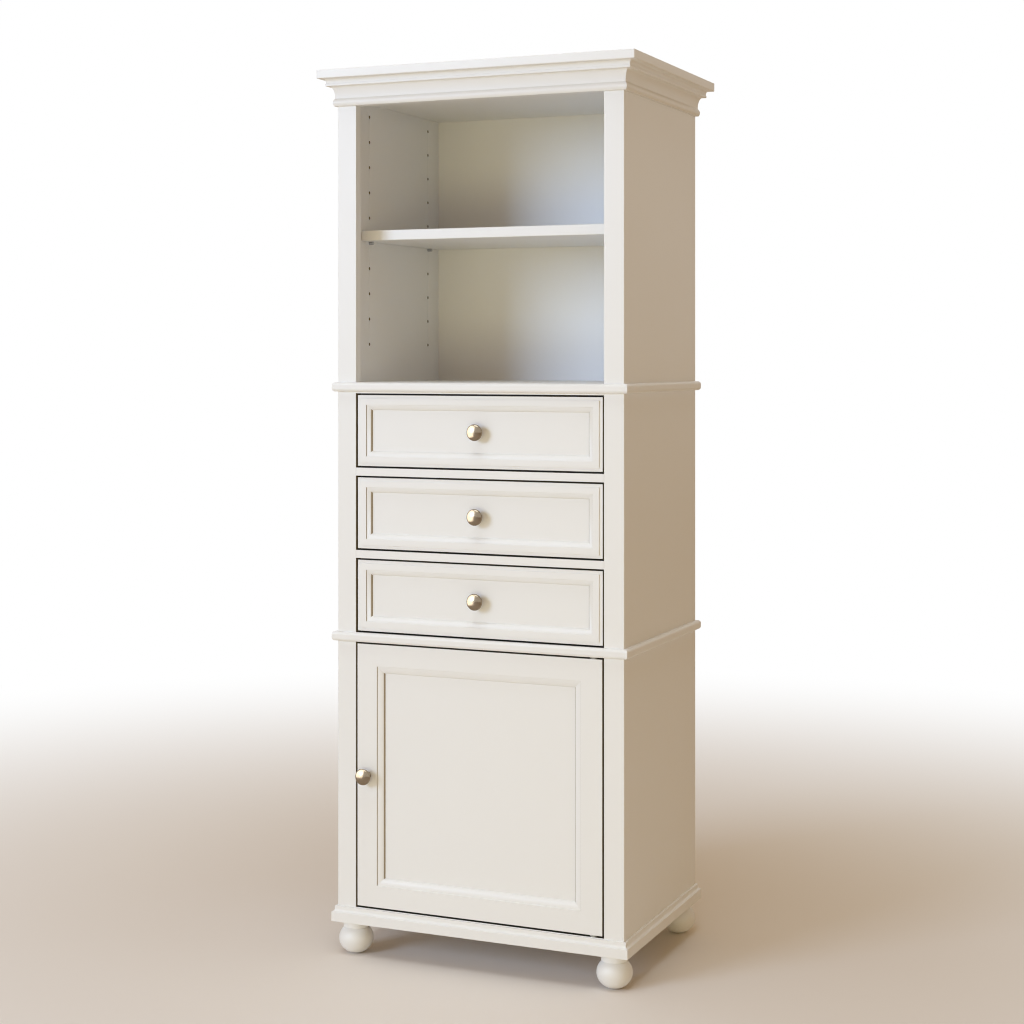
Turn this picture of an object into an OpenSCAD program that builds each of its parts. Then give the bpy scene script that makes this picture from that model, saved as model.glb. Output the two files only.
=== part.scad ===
/* [Body] */
// Width across the side panels
body_w = 590; // [500:1:760]
// Depth from the front of the face frame to the back edges
body_d = 418; // [340:1:520]
// Thickness of the side panels
side_t = 19; // [16:0.5:20]
// Thickness of the fixed horizontal boards
board_t = 18; // [14:0.5:20]
// Thickness of the back panel
back_t = 6; // [4:0.5:9]
// Depth of the rabbet in each side that takes the back panel
back_rabbet = 8; // [4:0.5:12]

/* [Face frame] */
// Thickness of the face frame
frame_t = 19; // [17:0.5:19.5]
// Width of the face-frame stiles
stile_w = 39.5; // [30:0.5:60]
// Height of the rails between the drawers
drawer_rail_h = 16; // [10:0.5:24]
// Strip of the upper belt rail that shows below its moulding
upper_reveal = 3.5; // [0.5:0.5:6]
// Strip of the lower belt rail that shows below its moulding
lower_reveal = 0.5; // [0.5:0.5:6]
// Strip of the bottom rail that shows above the base moulding
base_reveal = 1.5; // [0.5:0.5:6]

/* [Openings] */
// Height of the door opening
door_open_h = 512; // [420:1:640]
// Height of each drawer opening
drawer_open_h = 143; // [125:0.1:190]
// Height of the open display compartment in the face frame
display_h = 534.5; // [440:0.1:660]
// Gap round the door and the drawer fronts
front_gap = 3; // [2.5:0.25:4]
// How far the ceiling board sits above the top of the opening
ceiling_lift = 14; // [0:1:20]

/* [Top and crown] */
// Thickness of the top slab
slab_t = 17; // [12:0.5:24]
// Overhang of the top slab past the body
slab_over = 31; // [26:0.5:45]
// Height of the bead at the foot of the crown
crown_bead_h = 14; // [10:0.5:18]
// Projection of the bead at the foot of the crown
crown_bead_p = 7.5; // [5.5:0.5:10]
// Height of the large cove
crown_cove_h = 24; // [20:0.5:32]
// Projection of the large cove at its top
crown_cove_p = 12; // [10:0.5:14]
// Height of the fillet between the coves
crown_fillet_h = 5; // [4:0.5:10]
// Projection of the fillet between the coves
crown_fillet_p = 18; // [15:0.5:20]
// Height of the small cove under the slab
crown_top_h = 9; // [8:0.5:16]
// Projection of the crown under the slab
crown_top_p = 21.5; // [20.5:0.5:25]

/* [Belt mouldings] */
// Height of the belt mouldings
belt_h = 18; // [15:0.5:28]
// Projection of the belt mouldings
belt_p = 9; // [7:0.5:14]
// Radius of the belt mouldings' rounded edges
belt_r = 5.5; // [2:0.5:6]

/* [Base moulding] */
// Height of the flat fascia
fascia_h = 19; // [18:0.5:40]
// Projection of the flat fascia
fascia_p = 9.5; // [7.5:0.5:14]
// Height of the small cove above the fascia
base_cove_h = 4.5; // [3:0.5:8]
// Height of the upright face above the cove
base_top_h = 6; // [3:0.5:10]
// Projection of the upright face
base_top_p = 4.5; // [1:0.5:5]

/* [Feet] */
// Height of the feet, from the floor to the underside of the body
foot_h = 64; // [61:0.5:90]
// Diameter of the ball, level with the floor
ball_d = 67; // [58:1:68]
// Height of the whole ball, before its flat and its collar are cut
ball_h = 59; // [54:0.5:64]
// Diameter of the flat under the ball
ball_flat_d = 15; // [8:1:24]
// Diameter of the collar on the ball
collar_d = 50; // [32:1:54]
// Distance from the side face to the foot's axis
foot_in_x = 27.5; // [26:0.5:45]
// Distance from the front of the face frame to the front feet's axes
foot_in_front = 24; // [23:0.5:45]
// Distance from the back edges to the back feet's axes
foot_in_back = 24; // [23:0.5:45]
// Diameter of the foot bolt
foot_bolt_d = 6; // [4:0.5:6]
// Length of the foot bolt inside the ball
foot_bolt_l = 30; // [18:1:40]
// Side of the square corner blocks
corner_block = 60; // [50:1:80]

/* [Door] */
// Thickness of the door
door_t = 20; // [18:0.5:24]
// Flat width of the door's stiles and rails
door_flat_w = 42.5; // [36:0.5:70]
// Width of the ovolo inside the door frame
door_ovolo_w = 13.5; // [8:0.5:20]
// Depth of the ovolo, from the frame's face to the panel
door_ovolo_d = 9; // [6:0.5:10]
// Thickness of the door panel
door_panel_t = 6; // [4:0.5:7]
// Depth of the groove that holds the panel
door_groove = 8; // [5:0.5:12]
// Gap left round the panel in its groove
panel_gap = 0.2; // [0.1:0.05:0.4]

/* [Hinges and catch] */
// Diameter of the hinge pins
hinge_pin_d = 8; // [6:0.5:8]
// Distance from the door's edge to the hinge axis
hinge_in = 20; // [18:0.5:24]
// Distance from the front of the door back to the hinge axis
hinge_back = 9; // [8:0.5:9.5]
// Wall of the hinge bushes
bush_wall = 1.5; // [1:0.25:1.5]
// Rim of the bush flanges
bush_rim = 1.5; // [1:0.25:1.5]
// Depth of the bushes in the rails
bush_l = 13; // [9:0.5:14]
// Length of the hinge pins inside the door
pin_seat = 22; // [14:1:34]
// Gap between a bush flange and the door
door_float = 0.3; // [0.2:0.05:0.5]
// Gap between a pin and its bush, on the radius
pin_play = 0.05; // [0.02:0.01:0.1]
// Width of the magnetic catch
catch_w = 40; // [30:1:60]
// Depth of the magnetic catch
catch_d = 16; // [12:1:24]
// Height of the magnetic catch
catch_h = 13; // [10:0.5:18]
// Gap between the catch and its strike plate
catch_gap = 0.3; // [0.2:0.1:0.6]
// Thickness of the strike plate
strike_t = 1.5; // [1:0.25:2]

/* [Drawers] */
// Thickness of the drawer fronts
face_t = 19; // [17:0.5:22]
// Width of the low step round a drawer front
edge_step_w = 6.5; // [4:0.5:12]
// Depth of the low step round a drawer front
edge_step_d = 2; // [1:0.25:3]
// Flat width of a drawer front, inside its low step
face_flat_w = 12.5; // [8:0.5:20]
// Width of the ovolo in a drawer front
face_ovolo_w = 10; // [6:0.5:14]
// Depth of the field of a drawer front
face_ovolo_d = 8.5; // [6:0.5:9.5]
// Height of the drawer box
box_h = 108; // [90:1:110]
// Height of the drawer box above the opening's lower edge
box_lift = 10; // [6:0.5:14]
// Space between the opening's side and the drawer box
box_side_gap = 9; // [6:0.5:14]
// Space behind the drawer box
box_back_gap = 18; // [8:1:40]
// Thickness of the drawer sides and back
box_side_t = 12; // [10:0.5:16]
// Thickness of the drawer bottom
box_bottom_t = 6; // [4:0.5:8]
// Height of the drawer bottom above the lower edge of the sides
box_bottom_lift = 10; // [6:0.5:16]
// Depth of the grooves that hold the drawer bottom
bottom_groove = 5; // [3:0.25:6]

/* [Drawer runners] */
// Height of the runners
runner_h = 14; // [10:0.5:20]
// How far a runner reaches into the groove in a drawer side
runner_in = 5.5; // [4:0.25:6]
// Height of the runner above the lower edge of the drawer side
runner_lift = 48; // [36:1:56]
// Gap between a runner and its groove
runner_gap = 0.4; // [0.3:0.05:0.6]
// Length of the runner that stays behind the drawer
runner_tail = 6; // [0:1:7]

/* [Shelves] */
// Thickness of the adjustable shelves
shelf_t = 20; // [14:0.5:24]
// Distance from the front of the cabinet to the shelves
shelf_setback = 62; // [50:1:90]
// Gap at each end and behind a shelf
shelf_gap = 1; // [0.5:0.25:2]
// Height of the display shelf's underside above the display floor
display_shelf_up = 277; // [262:1:292]
// Height of the cupboard shelf's underside above the bottom board
cupboard_shelf_up = 245; // [235:1:255]
// Diameter of the shelf pins
shelf_pin_d = 6; // [5:0.5:7]
// Depth of the shelf-pin holes
pin_hole_depth = 10; // [8:0.5:12]
// Length of a shelf pin that shows under the shelf
shelf_pin_out = 9; // [6:0.5:14]
// Height from one shelf-pin hole to the next
pin_pitch = 50; // [32:1:52]
// Distance from the front of the cabinet to the front row of holes
pin_front = 95; // [80:1:130]
// Distance from the back edges to the back row of holes
pin_back = 58; // [40:1:90]

/* [Knobs] */
// Diameter of the knobs
knob_d = 31.5; // [24:0.5:36]
// Projection of the knobs
knob_l = 26; // [22:0.5:32]
// Height of the knob's dome, from its widest ring to its tip
knob_dome_h = 7.5; // [5:0.5:10]
// Diameter of the knob's neck
knob_neck_d = 11; // [8:0.5:14]
// Diameter of the knob's foot
knob_foot_d = 16; // [14:0.5:20]
// Diameter of the knob screws
knob_screw_d = 4; // [3:0.5:5]
// Diameter of the knob screws' heads
screw_head_d = 9; // [7:0.5:12]
// Height of the knob screws' heads
screw_head_h = 2.5; // [2:0.25:4]
// Length of a knob screw inside the knob
screw_in_knob = 9; // [6:0.5:12]

/* [Hidden] */

$fn = 48;

// Colours
paint = [0.90, 0.89, 0.86];
bare_wood = [0.80, 0.68, 0.50];
nickel = [0.72, 0.69, 0.64];
steel = [0.60, 0.60, 0.62];
nylon = [0.82, 0.82, 0.80];

// How far a cutting shape runs past what it cuts
over = 1;
// Number of straight steps in each curve of a moulding
steps = 8;

// Heights above the floor, from the feet up: each name ending in z is a lower edge or a level
ball_r = ball_d / 2;
// Angles round the ball, from its middle down to the flat and up to the collar
flat_turn = acos(ball_flat_d / ball_d);
collar_turn = acos(collar_d / ball_d);
ball_z = ball_h / 2 * sin(flat_turn);
base_h = fascia_h + base_cove_h + base_top_h;
door_z0 = foot_h + base_h + base_reveal;
door_z1 = door_z0 + door_open_h;
drawers_z0 = door_z1 + belt_h + lower_reveal;
drawers_z1 = drawers_z0 + 3 * drawer_open_h + 2 * drawer_rail_h;
display_z0 = drawers_z1 + belt_h + upper_reveal;
display_z1 = display_z0 + display_h;
crown_h = crown_bead_h + crown_cove_h + crown_fillet_h + crown_top_h;
slab_z = display_z1 + crown_h;

// Half widths, and depths behind the front of the face frame
half_w = body_w / 2;
inner_x = half_w - side_t;
open_x = half_w - stile_w;
back_y = body_d - back_t;
// The model's origin lies on the floor, under the middle of the overall width and depth
front_y = -body_d / 2;

// Lower edge of each drawer opening, drawer 1 being the top one
function drawer_z(n) = drawers_z0 + (3 - n) * (drawer_open_h + drawer_rail_h);

// Drawer box
box_x = open_x - box_side_gap;
box_end = back_y - box_back_gap;
runner_top = runner_lift + runner_h;

// Door outline
door_x = open_x - front_gap;
door_bottom = door_z0 + front_gap;
door_top = door_z1 - front_gap;
door_in_x = door_x - door_flat_w - door_ovolo_w;
door_in = door_flat_w + door_ovolo_w;
hinge_x = door_x - hinge_in;
knob_x = -(door_x - door_flat_w / 2);
knob_z = (door_bottom + door_top) / 2;

// Hinge pins and bushes
bush_r = hinge_pin_d / 2 + pin_play + bush_wall;
flange_r = bush_r + bush_rim;
flange_t = front_gap - door_float;
pin_reach = bush_l - 1;

// Shelf supports
display_pin_z = display_z0 + display_shelf_up - shelf_pin_d / 2;
cupboard_pin_z = door_z0 + cupboard_shelf_up - shelf_pin_d / 2;
pin_rows_y = [pin_front, body_d - pin_back];
hole_slack = 0.05;
// Rows of holes above and below each shelf, kept clear of the boards by a hole's height
function rows(from_z, to_z, pin_z) =
  [for (k = [ceil((from_z + 2 * shelf_pin_d - pin_z) / pin_pitch)
             : floor((to_z - 2 * shelf_pin_d - pin_z) / pin_pitch)]) pin_z + k * pin_pitch];
display_rows = rows(display_z0 + pin_pitch, display_z1 + ceiling_lift, display_pin_z);
cupboard_rows = rows(door_z0 + 2 * pin_pitch, door_z1 - 2 * pin_pitch, cupboard_pin_z);

// Points along a circular arc
function arc(cx, cy, r, a0, a1) =
  [for (i = [0 : steps]) [cx + r * cos(a0 + (a1 - a0) * i / steps),
                          cy + r * sin(a0 + (a1 - a0) * i / steps)]];

// Points of an ovolo, which leaves its start level and rounds over to w across and d deep
function ovolo_curve(w, d) =
  [for (i = [0 : steps]) [w * sin(90 * i / steps), d * (1 - cos(90 * i / steps))]];

// Projection of the crown bead at its two edges, and the small setbacks beside the crown's curves
crown_bead_root = 5;
crown_quirk = 1;
// Width of the ledge on top of the fascia, in front of the base cove
base_ledge = 1;

// Moulding outlines: how far each point stands out, and its height above the lower edge
crown_outline = let (
    bulge = crown_bead_p - crown_bead_root,
    half = crown_bead_h / 2,
    r = (half * half + bulge * bulge) / (2 * bulge),
    a = asin(half / r),
    cove_z = crown_bead_h,
    fillet_z = cove_z + crown_cove_h,
    top_z = fillet_z + crown_fillet_h)
  concat(
    [[0, 0]],
    arc(crown_bead_p - r, half, r, -a, a),
    [for (i = [0 : steps]) let (t = 90 * i / steps)
      [crown_bead_root - crown_quirk + (crown_cove_p - crown_bead_root + crown_quirk) * (1 - cos(t)),
       cove_z + crown_quirk + (crown_cove_h - crown_quirk) * sin(t)]],
    [[crown_fillet_p - crown_quirk, fillet_z],
     [crown_fillet_p, fillet_z + crown_quirk],
     [crown_fillet_p, top_z - crown_quirk],
     [crown_fillet_p - crown_quirk, top_z]],
    [for (i = [1 : steps]) let (t = 90 * i / steps)
      [crown_fillet_p - crown_quirk + (crown_top_p - crown_fillet_p + crown_quirk) * (1 - cos(t)),
       top_z + crown_top_h * sin(t)]],
    [[0, crown_h]]);

belt_outline = concat(
  [[0, 0]],
  arc(belt_p - belt_r, belt_r, belt_r, -90, 0),
  arc(belt_p - belt_r, belt_h - belt_r, belt_r, 0, 90),
  [[0, belt_h]]);

base_outline = concat(
  [[0, 0], [fascia_p, 0], [fascia_p, fascia_h]],
  [for (i = [0 : steps]) let (t = 90 * i / steps)
    [base_top_p + (fascia_p - base_ledge - base_top_p) * (1 - sin(t)),
     fascia_h + base_cove_h * (1 - cos(t))]],
  [[base_top_p, base_h], [0, base_h]]);

// Everything is drawn from the front of the face frame and then moved back to the origin
module placed() {
  translate([0, front_y, 0]) children();
}

// A box between two corners
module block(from, to) {
  translate(from) cube(to - from);
}

// A round bar or hole along Y, and one along X
module along_y(x, z, r, y0, y1) {
  translate([x, y0, z]) rotate([-90, 0, 0]) cylinder(h = y1 - y0, r = r);
}
module along_x(x0, x1, y, z, r) {
  translate([x0, y, z]) rotate([0, 90, 0]) cylinder(h = x1 - x0, r = r);
}

module both_sides() {
  children();
  mirror([1, 0, 0]) children();
}

// Carcass boards

module side_panel() {
  difference() {
    block([inner_x, frame_t, foot_h], [half_w, body_d, slab_z]);
    block([inner_x - over, back_y, foot_h - over], [inner_x + back_rabbet, body_d + over, slab_z + over]);
    for (y = pin_rows_y, z = concat(display_rows, cupboard_rows))
      along_x(inner_x - over, inner_x + pin_hole_depth, y, z, shelf_pin_d / 2 + hole_slack);
  }
}

module side_panel_left() {
  color(paint) placed() mirror([1, 0, 0]) side_panel();
}

module side_panel_right() {
  color(paint) placed() side_panel();
}

module face_stile_left() {
  color(paint) placed() block([-half_w, 0, foot_h], [-open_x, frame_t, slab_z]);
}

module face_stile_right() {
  color(paint) placed() block([open_x, 0, foot_h], [half_w, frame_t, slab_z]);
}

module face_rail(z0, z1) {
  block([-open_x, 0, z0], [open_x, frame_t, z1]);
}

module face_top_rail() {
  color(paint) placed() face_rail(display_z1, slab_z);
}

module face_upper_rail() {
  color(paint) placed() face_rail(drawers_z1, display_z0);
}

module drawer_rails() {
  color(paint) placed() for (n = [1, 2]) face_rail(drawer_z(n) - drawer_rail_h, drawer_z(n));
}

module face_lower_rail() {
  color(paint) placed() difference() {
    face_rail(door_z1, drawers_z0);
    translate([hinge_x, hinge_back, door_z1 - over]) cylinder(h = bush_l + over, r = bush_r);
  }
}

module face_bottom_rail() {
  color(paint) placed() difference() {
    face_rail(foot_h, door_z0);
    translate([hinge_x, hinge_back, door_z0 - bush_l]) cylinder(h = bush_l + over, r = bush_r);
  }
}

module top_slab() {
  color(paint) placed()
    block([-half_w - slab_over, -slab_over, slab_z],
      [half_w + slab_over, body_d + slab_over, slab_z + slab_t]);
}

// A fixed board between the side panels, named by the height of its upper face
module fixed_board(z) {
  block([-inner_x, frame_t, z - board_t], [inner_x, back_y, z]);
}

module ceiling_board() {
  color(paint) placed() fixed_board(display_z1 + ceiling_lift + board_t);
}

module display_floor() {
  color(paint) placed() fixed_board(display_z0);
}

module drawer_divider() {
  color(paint) placed() fixed_board(drawers_z0);
}

module bottom_board() {
  color(paint) placed() fixed_board(door_z0);
}

module back_panel() {
  color(paint) placed()
    block([-inner_x - back_rabbet, back_y, foot_h], [inner_x + back_rabbet, back_y + back_t, slab_z]);
}

module shelf(z) {
  block([-inner_x + shelf_gap, shelf_setback, z], [inner_x - shelf_gap, back_y - shelf_gap, z + shelf_t]);
}

module display_shelf() {
  color(paint) placed() shelf(display_z0 + display_shelf_up);
}

module cupboard_shelf() {
  color(paint) placed() shelf(door_z0 + cupboard_shelf_up);
}

module shelf_pins() {
  color(steel) placed() both_sides() for (y = pin_rows_y, z = [display_pin_z, cupboard_pin_z])
    along_x(inner_x - shelf_pin_out, inner_x + pin_hole_depth, y, z, shelf_pin_d / 2);
}

// Mouldings: an outline is drawn out along the body, and the lengths meet in mitres

function reach_of(outline) = max([for (p = outline) p[0]]) + over;
function height_of(outline) = max([for (p = outline) p[1]]);

// Stands a drawn-out area over a plan, from just below a moulding's outline to just above it
module over_plan(outline, z) {
  translate([0, 0, z - over]) linear_extrude(height_of(outline) + 2 * over) children();
}

// The length on the front
module moulding_front(outline, z) {
  reach = reach_of(outline);
  intersection() {
    translate([-half_w - reach, 0, z]) rotate([90, 0, 90])
      linear_extrude(body_w + 2 * reach) polygon([for (p = outline) [-p[0], p[1]]]);
    over_plan(outline, z)
      polygon([[-half_w, 0], [half_w, 0], [half_w + reach, -reach], [-half_w - reach, -reach]]);
  }
}

// The lengths on both sides and on the back, which turn the two back corners in one piece
module moulding_returns(outline, z) {
  reach = reach_of(outline);
  last = len(outline) - 1;
  difference() {
    intersection() {
      translate([-half_w - reach, 0, z]) rotate([90, 0, 90]) linear_extrude(body_w + 2 * reach)
        polygon(concat([[over - reach, 0]], [for (p = outline) [body_d + p[0], p[1]]],
          [[over - reach, height_of(outline)]]));
      translate([0, body_d + reach, z]) rotate([90, 0, 0]) linear_extrude(body_d + 2 * reach)
        polygon(concat([for (p = outline) [half_w + p[0], p[1]]],
          [for (i = [last : -1 : 0]) [-half_w - outline[i][0], outline[i][1]]]));
    }
    over_plan(outline, z)
      polygon([[-half_w, body_d], [half_w, body_d], [half_w, 0], [half_w + reach, -reach],
        [-half_w - reach, -reach], [-half_w, 0]]);
  }
}

module crown_front() {
  color(paint) placed() moulding_front(crown_outline, display_z1);
}

module crown_returns() {
  color(paint) placed() moulding_returns(crown_outline, display_z1);
}

module upper_belt_front() {
  color(paint) placed() moulding_front(belt_outline, display_z0 - belt_h);
}

module upper_belt_returns() {
  color(paint) placed() moulding_returns(belt_outline, display_z0 - belt_h);
}

module lower_belt_front() {
  color(paint) placed() moulding_front(belt_outline, drawers_z0 - belt_h);
}

module lower_belt_returns() {
  color(paint) placed() moulding_returns(belt_outline, drawers_z0 - belt_h);
}

module base_front() {
  color(paint) placed() moulding_front(base_outline, foot_h);
}

module base_returns() {
  color(paint) placed() moulding_returns(base_outline, foot_h);
}

// Feet

module at_feet() {
  for (y = [foot_in_front, body_d - foot_in_back])
    both_sides() translate([half_w - foot_in_x, y, 0]) children();
}

// Height of the corner blocks, and the wood left above each bolt
corner_block_h = door_z0 - board_t - foot_h;
bolt_cover = 2;

module foot_bolt_shape(slack) {
  translate([0, 0, foot_h - foot_bolt_l - slack])
    cylinder(h = foot_bolt_l + corner_block_h - bolt_cover + 2 * slack, r = foot_bolt_d / 2 + slack);
}

// The foot is turned: a flattened ball that meets its collar where both are equally wide
foot_outline = concat(
  [[0, 0]],
  [for (i = [0 : 2 * steps]) let (t = -flat_turn + (flat_turn + collar_turn) * i / (2 * steps))
    [ball_r * cos(t), ball_z + ball_h / 2 * sin(t)]],
  [[collar_d / 2, foot_h], [0, foot_h]]);

module ball_feet() {
  color(paint) placed() at_feet() difference() {
    rotate_extrude() polygon(foot_outline);
    foot_bolt_shape(hole_slack);
  }
}

module foot_bolts() {
  color(steel) placed() at_feet() foot_bolt_shape(0);
}

module corner_blocks() {
  color(bare_wood) placed() difference() {
    for (y = [frame_t, back_y - corner_block]) both_sides()
      block([inner_x - corner_block, y, foot_h], [inner_x, y + corner_block, foot_h + corner_block_h]);
    at_feet() foot_bolt_shape(hole_slack);
  }
}

// Drawer runners

module runner_set() {
  for (n = [1 : 3]) let (z = drawer_z(n) + box_lift + runner_lift)
    block([box_x - runner_in, max(frame_t, face_t) + runner_gap, z],
      [inner_x, box_end + runner_tail, z + runner_h]);
}

module drawer_runners() {
  color(bare_wood) placed() both_sides() runner_set();
}

// Hinges: a pin in each end of the door turns in a flanged bush in the rail

module bush(depth, flange) {
  difference() {
    union() {
      translate([0, 0, -depth]) cylinder(h = depth, r = bush_r);
      cylinder(h = flange, r = flange_r);
    }
    translate([0, 0, -depth - over]) cylinder(h = depth + flange + 2 * over, r = hinge_pin_d / 2 + pin_play);
  }
}

module hinge_bushes() {
  color(nylon) placed() translate([hinge_x, hinge_back, 0]) {
    translate([0, 0, door_z0]) bush(bush_l, flange_t);
    translate([0, 0, door_z1]) mirror([0, 0, 1]) bush(bush_l, flange_t);
  }
}

module hinge_pins() {
  color(steel) placed() translate([hinge_x, hinge_back, 0]) {
    translate([0, 0, door_z0 - pin_reach])
      cylinder(h = pin_reach + front_gap + pin_seat, d = hinge_pin_d);
    translate([0, 0, door_top - pin_seat])
      cylinder(h = pin_reach + front_gap + pin_seat, d = hinge_pin_d);
  }
}

module hinge_pin_holes() {
  translate([hinge_x, hinge_back, door_bottom - over]) cylinder(h = pin_seat + over, d = hinge_pin_d);
  translate([hinge_x, hinge_back, door_top - pin_seat]) cylinder(h = pin_seat + over, d = hinge_pin_d);
}

// Catch: a magnet under the divider board, and a steel plate on the door

catch_x = -door_in_x + catch_w / 2;
catch_y = door_t + strike_t + catch_gap;

module door_catch() {
  color(nylon) placed() block(
    [catch_x - catch_w / 2, catch_y, drawers_z0 - board_t - catch_h],
    [catch_x + catch_w / 2, catch_y + catch_d, drawers_z0 - board_t]);
}

module strike_plate() {
  color(steel) placed() block(
    [catch_x - catch_w / 2, door_t, door_top - catch_h],
    [catch_x + catch_w / 2, door_t + strike_t, door_top]);
}

// Door: four frame members round a loose panel

// Depth of the upright edges where an ovolo starts and where it ends
quirk = 2;
ovolo_drop = 0.5;

module door_board() {
  panel_back = door_ovolo_d + door_panel_t;
  difference() {
    block([-door_x, 0, door_bottom], [door_x, door_t, door_top]);
    recess([door_x, door_flat_w, door_ovolo_w, door_ovolo_d], door_bottom, door_top);
    block([-door_in_x, -over, door_bottom + door_in], [door_in_x, door_t + over, door_top - door_in]);
    block([-door_in_x - door_groove, door_ovolo_d, door_bottom + door_in - door_groove],
      [door_in_x + door_groove, panel_back + panel_gap, door_top - door_in + door_groove]);
    knob_screw_hole(knob_x, knob_z, door_t);
    hinge_pin_holes();
  }
}

// The hollow of a panelled front: size holds its half width, flat border, ovolo width and depth.
// Where two drawn-out ovolos cross, the corners come out mitred.
module recess(size, z0, z1) {
  x = size[0] - size[1];
  w = size[2];
  d = size[3];
  half_h = (z1 - z0) / 2 - size[1];
  intersection() {
    translate([0, 0, z0]) linear_extrude(z1 - z0) ovolo_hollow(x, w, d);
    translate([-x, 0, (z0 + z1) / 2]) rotate([0, 90, 0]) linear_extrude(2 * x)
      ovolo_hollow(half_h, w, d);
  }
}

// Outline of the hollow across: an upright quirk at each edge, the ovolo, and a drop to the field
module ovolo_hollow(x, w, d) {
  curve = [for (p = ovolo_curve(w, d - quirk - ovolo_drop)) [-x + p[0], quirk + p[1]]];
  side = concat([[-x, -over]], curve, [[-x + w, d]]);
  polygon(concat(side, [for (i = [len(side) - 1 : -1 : 0]) [-side[i][0], side[i][1]]]));
}

module knob_screw_hole(x, z, y1) {
  along_y(x, z, knob_screw_d / 2 + hole_slack, -over, y1 + over);
}

// Outline of a door stile, whose ends meet the rails along the ovolo's mitres
module door_stile_area(x0, x1, x2) {
  rotate([90, 0, 0]) translate([0, 0, -door_t - over]) linear_extrude(door_t + 2 * over) polygon([
    [x0, door_bottom], [x1, door_bottom], [x1, door_bottom + door_flat_w], [x2, door_bottom + door_in],
    [x2, door_top - door_in], [x1, door_top - door_flat_w], [x1, door_top], [x0, door_top]]);
}

module door_rail_area(z0, z1, z2) {
  x1 = door_x - door_flat_w;
  rotate([90, 0, 0]) translate([0, 0, -door_t - over]) linear_extrude(door_t + 2 * over) polygon([
    [-x1, z0], [x1, z0], [x1, z1], [door_in_x, z2], [-door_in_x, z2], [-x1, z1]]);
}

module door_knob_stile() {
  color(paint) placed() intersection() {
    door_board();
    door_stile_area(-door_x, -door_x + door_flat_w, -door_in_x);
  }
}

module door_hinge_stile() {
  color(paint) placed() intersection() {
    door_board();
    door_stile_area(door_x, door_x - door_flat_w, door_in_x);
  }
}

module door_top_rail() {
  color(paint) placed() intersection() {
    door_board();
    door_rail_area(door_top, door_top - door_flat_w, door_top - door_in);
  }
}

module door_bottom_rail() {
  color(paint) placed() intersection() {
    door_board();
    door_rail_area(door_bottom, door_bottom + door_flat_w, door_bottom + door_in);
  }
}

module door_panel() {
  g = door_groove - panel_gap;
  color(paint) placed() block(
    [-door_in_x - g, door_ovolo_d, door_bottom + door_in - g],
    [door_in_x + g, door_ovolo_d + door_panel_t, door_top - door_in + g]);
}

// Knobs: a foot on the wood, a neck and a domed head, on the screw that comes through from behind

// Height of the knob's foot, and of its underside from the neck to the widest ring
knob_foot_h = 2;
knob_rim_h = 6;

module knob_shape() {
  neck_r = knob_neck_d / 2;
  head_z = knob_l - knob_dome_h - knob_rim_h;
  difference() {
    rotate([90, 0, 0]) rotate_extrude() polygon(concat(
      [[0, 0], [knob_foot_d / 2, 0], [knob_foot_d / 2, knob_foot_h], [neck_r, 2 * knob_foot_h]],
      [for (i = [0 : steps]) let (t = 90 * i / steps)
        [neck_r + (knob_d / 2 - neck_r) * sin(t), head_z + knob_rim_h * (1 - cos(t))]],
      [for (i = [1 : steps]) let (t = 90 * i / steps)
        [knob_d / 2 * cos(t), knob_l - knob_dome_h + knob_dome_h * sin(t)]]));
    along_y(0, 0, knob_screw_d / 2 + hole_slack, -screw_in_knob - over, over);
  }
}

// A screw that starts behind a board at y1 and ends inside a knob seated at y0
module knob_screw_shape(y0, y1) {
  along_y(0, 0, knob_screw_d / 2, y0 - screw_in_knob, y1);
  along_y(0, 0, screw_head_d / 2, y1, y1 + screw_head_h);
}

module door_knob() {
  color(nickel) placed() translate([knob_x, 0, knob_z]) knob_shape();
}

module door_knob_screw() {
  color(steel) placed() translate([knob_x, 0, knob_z]) knob_screw_shape(0, door_t);
}

// Drawers

module drawer_front(n) {
  z0 = drawer_z(n) + front_gap;
  z1 = drawer_z(n) + drawer_open_h - front_gap;
  s = edge_step_w;
  difference() {
    union() {
      block([-door_x, edge_step_d, z0], [door_x, face_t, z1]);
      block([-door_x + s, 0, z0 + s], [door_x - s, face_t, z1 - s]);
    }
    recess([door_x, s + face_flat_w, face_ovolo_w, face_ovolo_d], z0, z1);
    drawer_bottom_groove(n);
    knob_screw_hole(0, (z0 + z1) / 2, face_t);
  }
}

// The groove for a drawer's bottom board, cut in its front, sides and back
module drawer_bottom_groove(n) {
  z = drawer_z(n) + box_lift + box_bottom_lift;
  x = box_x - box_side_t + bottom_groove;
  y = box_end - box_side_t + bottom_groove;
  block([-x, face_t - bottom_groove, z], [x, y, z + box_bottom_t + panel_gap]);
}

module drawer_sides(n) {
  z = drawer_z(n) + box_lift;
  difference() {
    both_sides() block([box_x - box_side_t, face_t, z], [box_x, box_end, z + box_h]);
    drawer_bottom_groove(n);
    both_sides() block(
      [box_x - runner_in - runner_gap, face_t - over, z + runner_lift - runner_gap],
      [box_x + over, box_end + over, z + runner_top + runner_gap]);
  }
}

module drawer_back(n) {
  z = drawer_z(n) + box_lift;
  difference() {
    block([-box_x + box_side_t, box_end - box_side_t, z], [box_x - box_side_t, box_end, z + box_h]);
    drawer_bottom_groove(n);
  }
}

module drawer_bottom(n) {
  z = drawer_z(n) + box_lift + box_bottom_lift;
  g = bottom_groove - panel_gap;
  block([-box_x + box_side_t - g, face_t - g, z],
    [box_x - box_side_t + g, box_end - box_side_t + g, z + box_bottom_t]);
}

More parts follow.
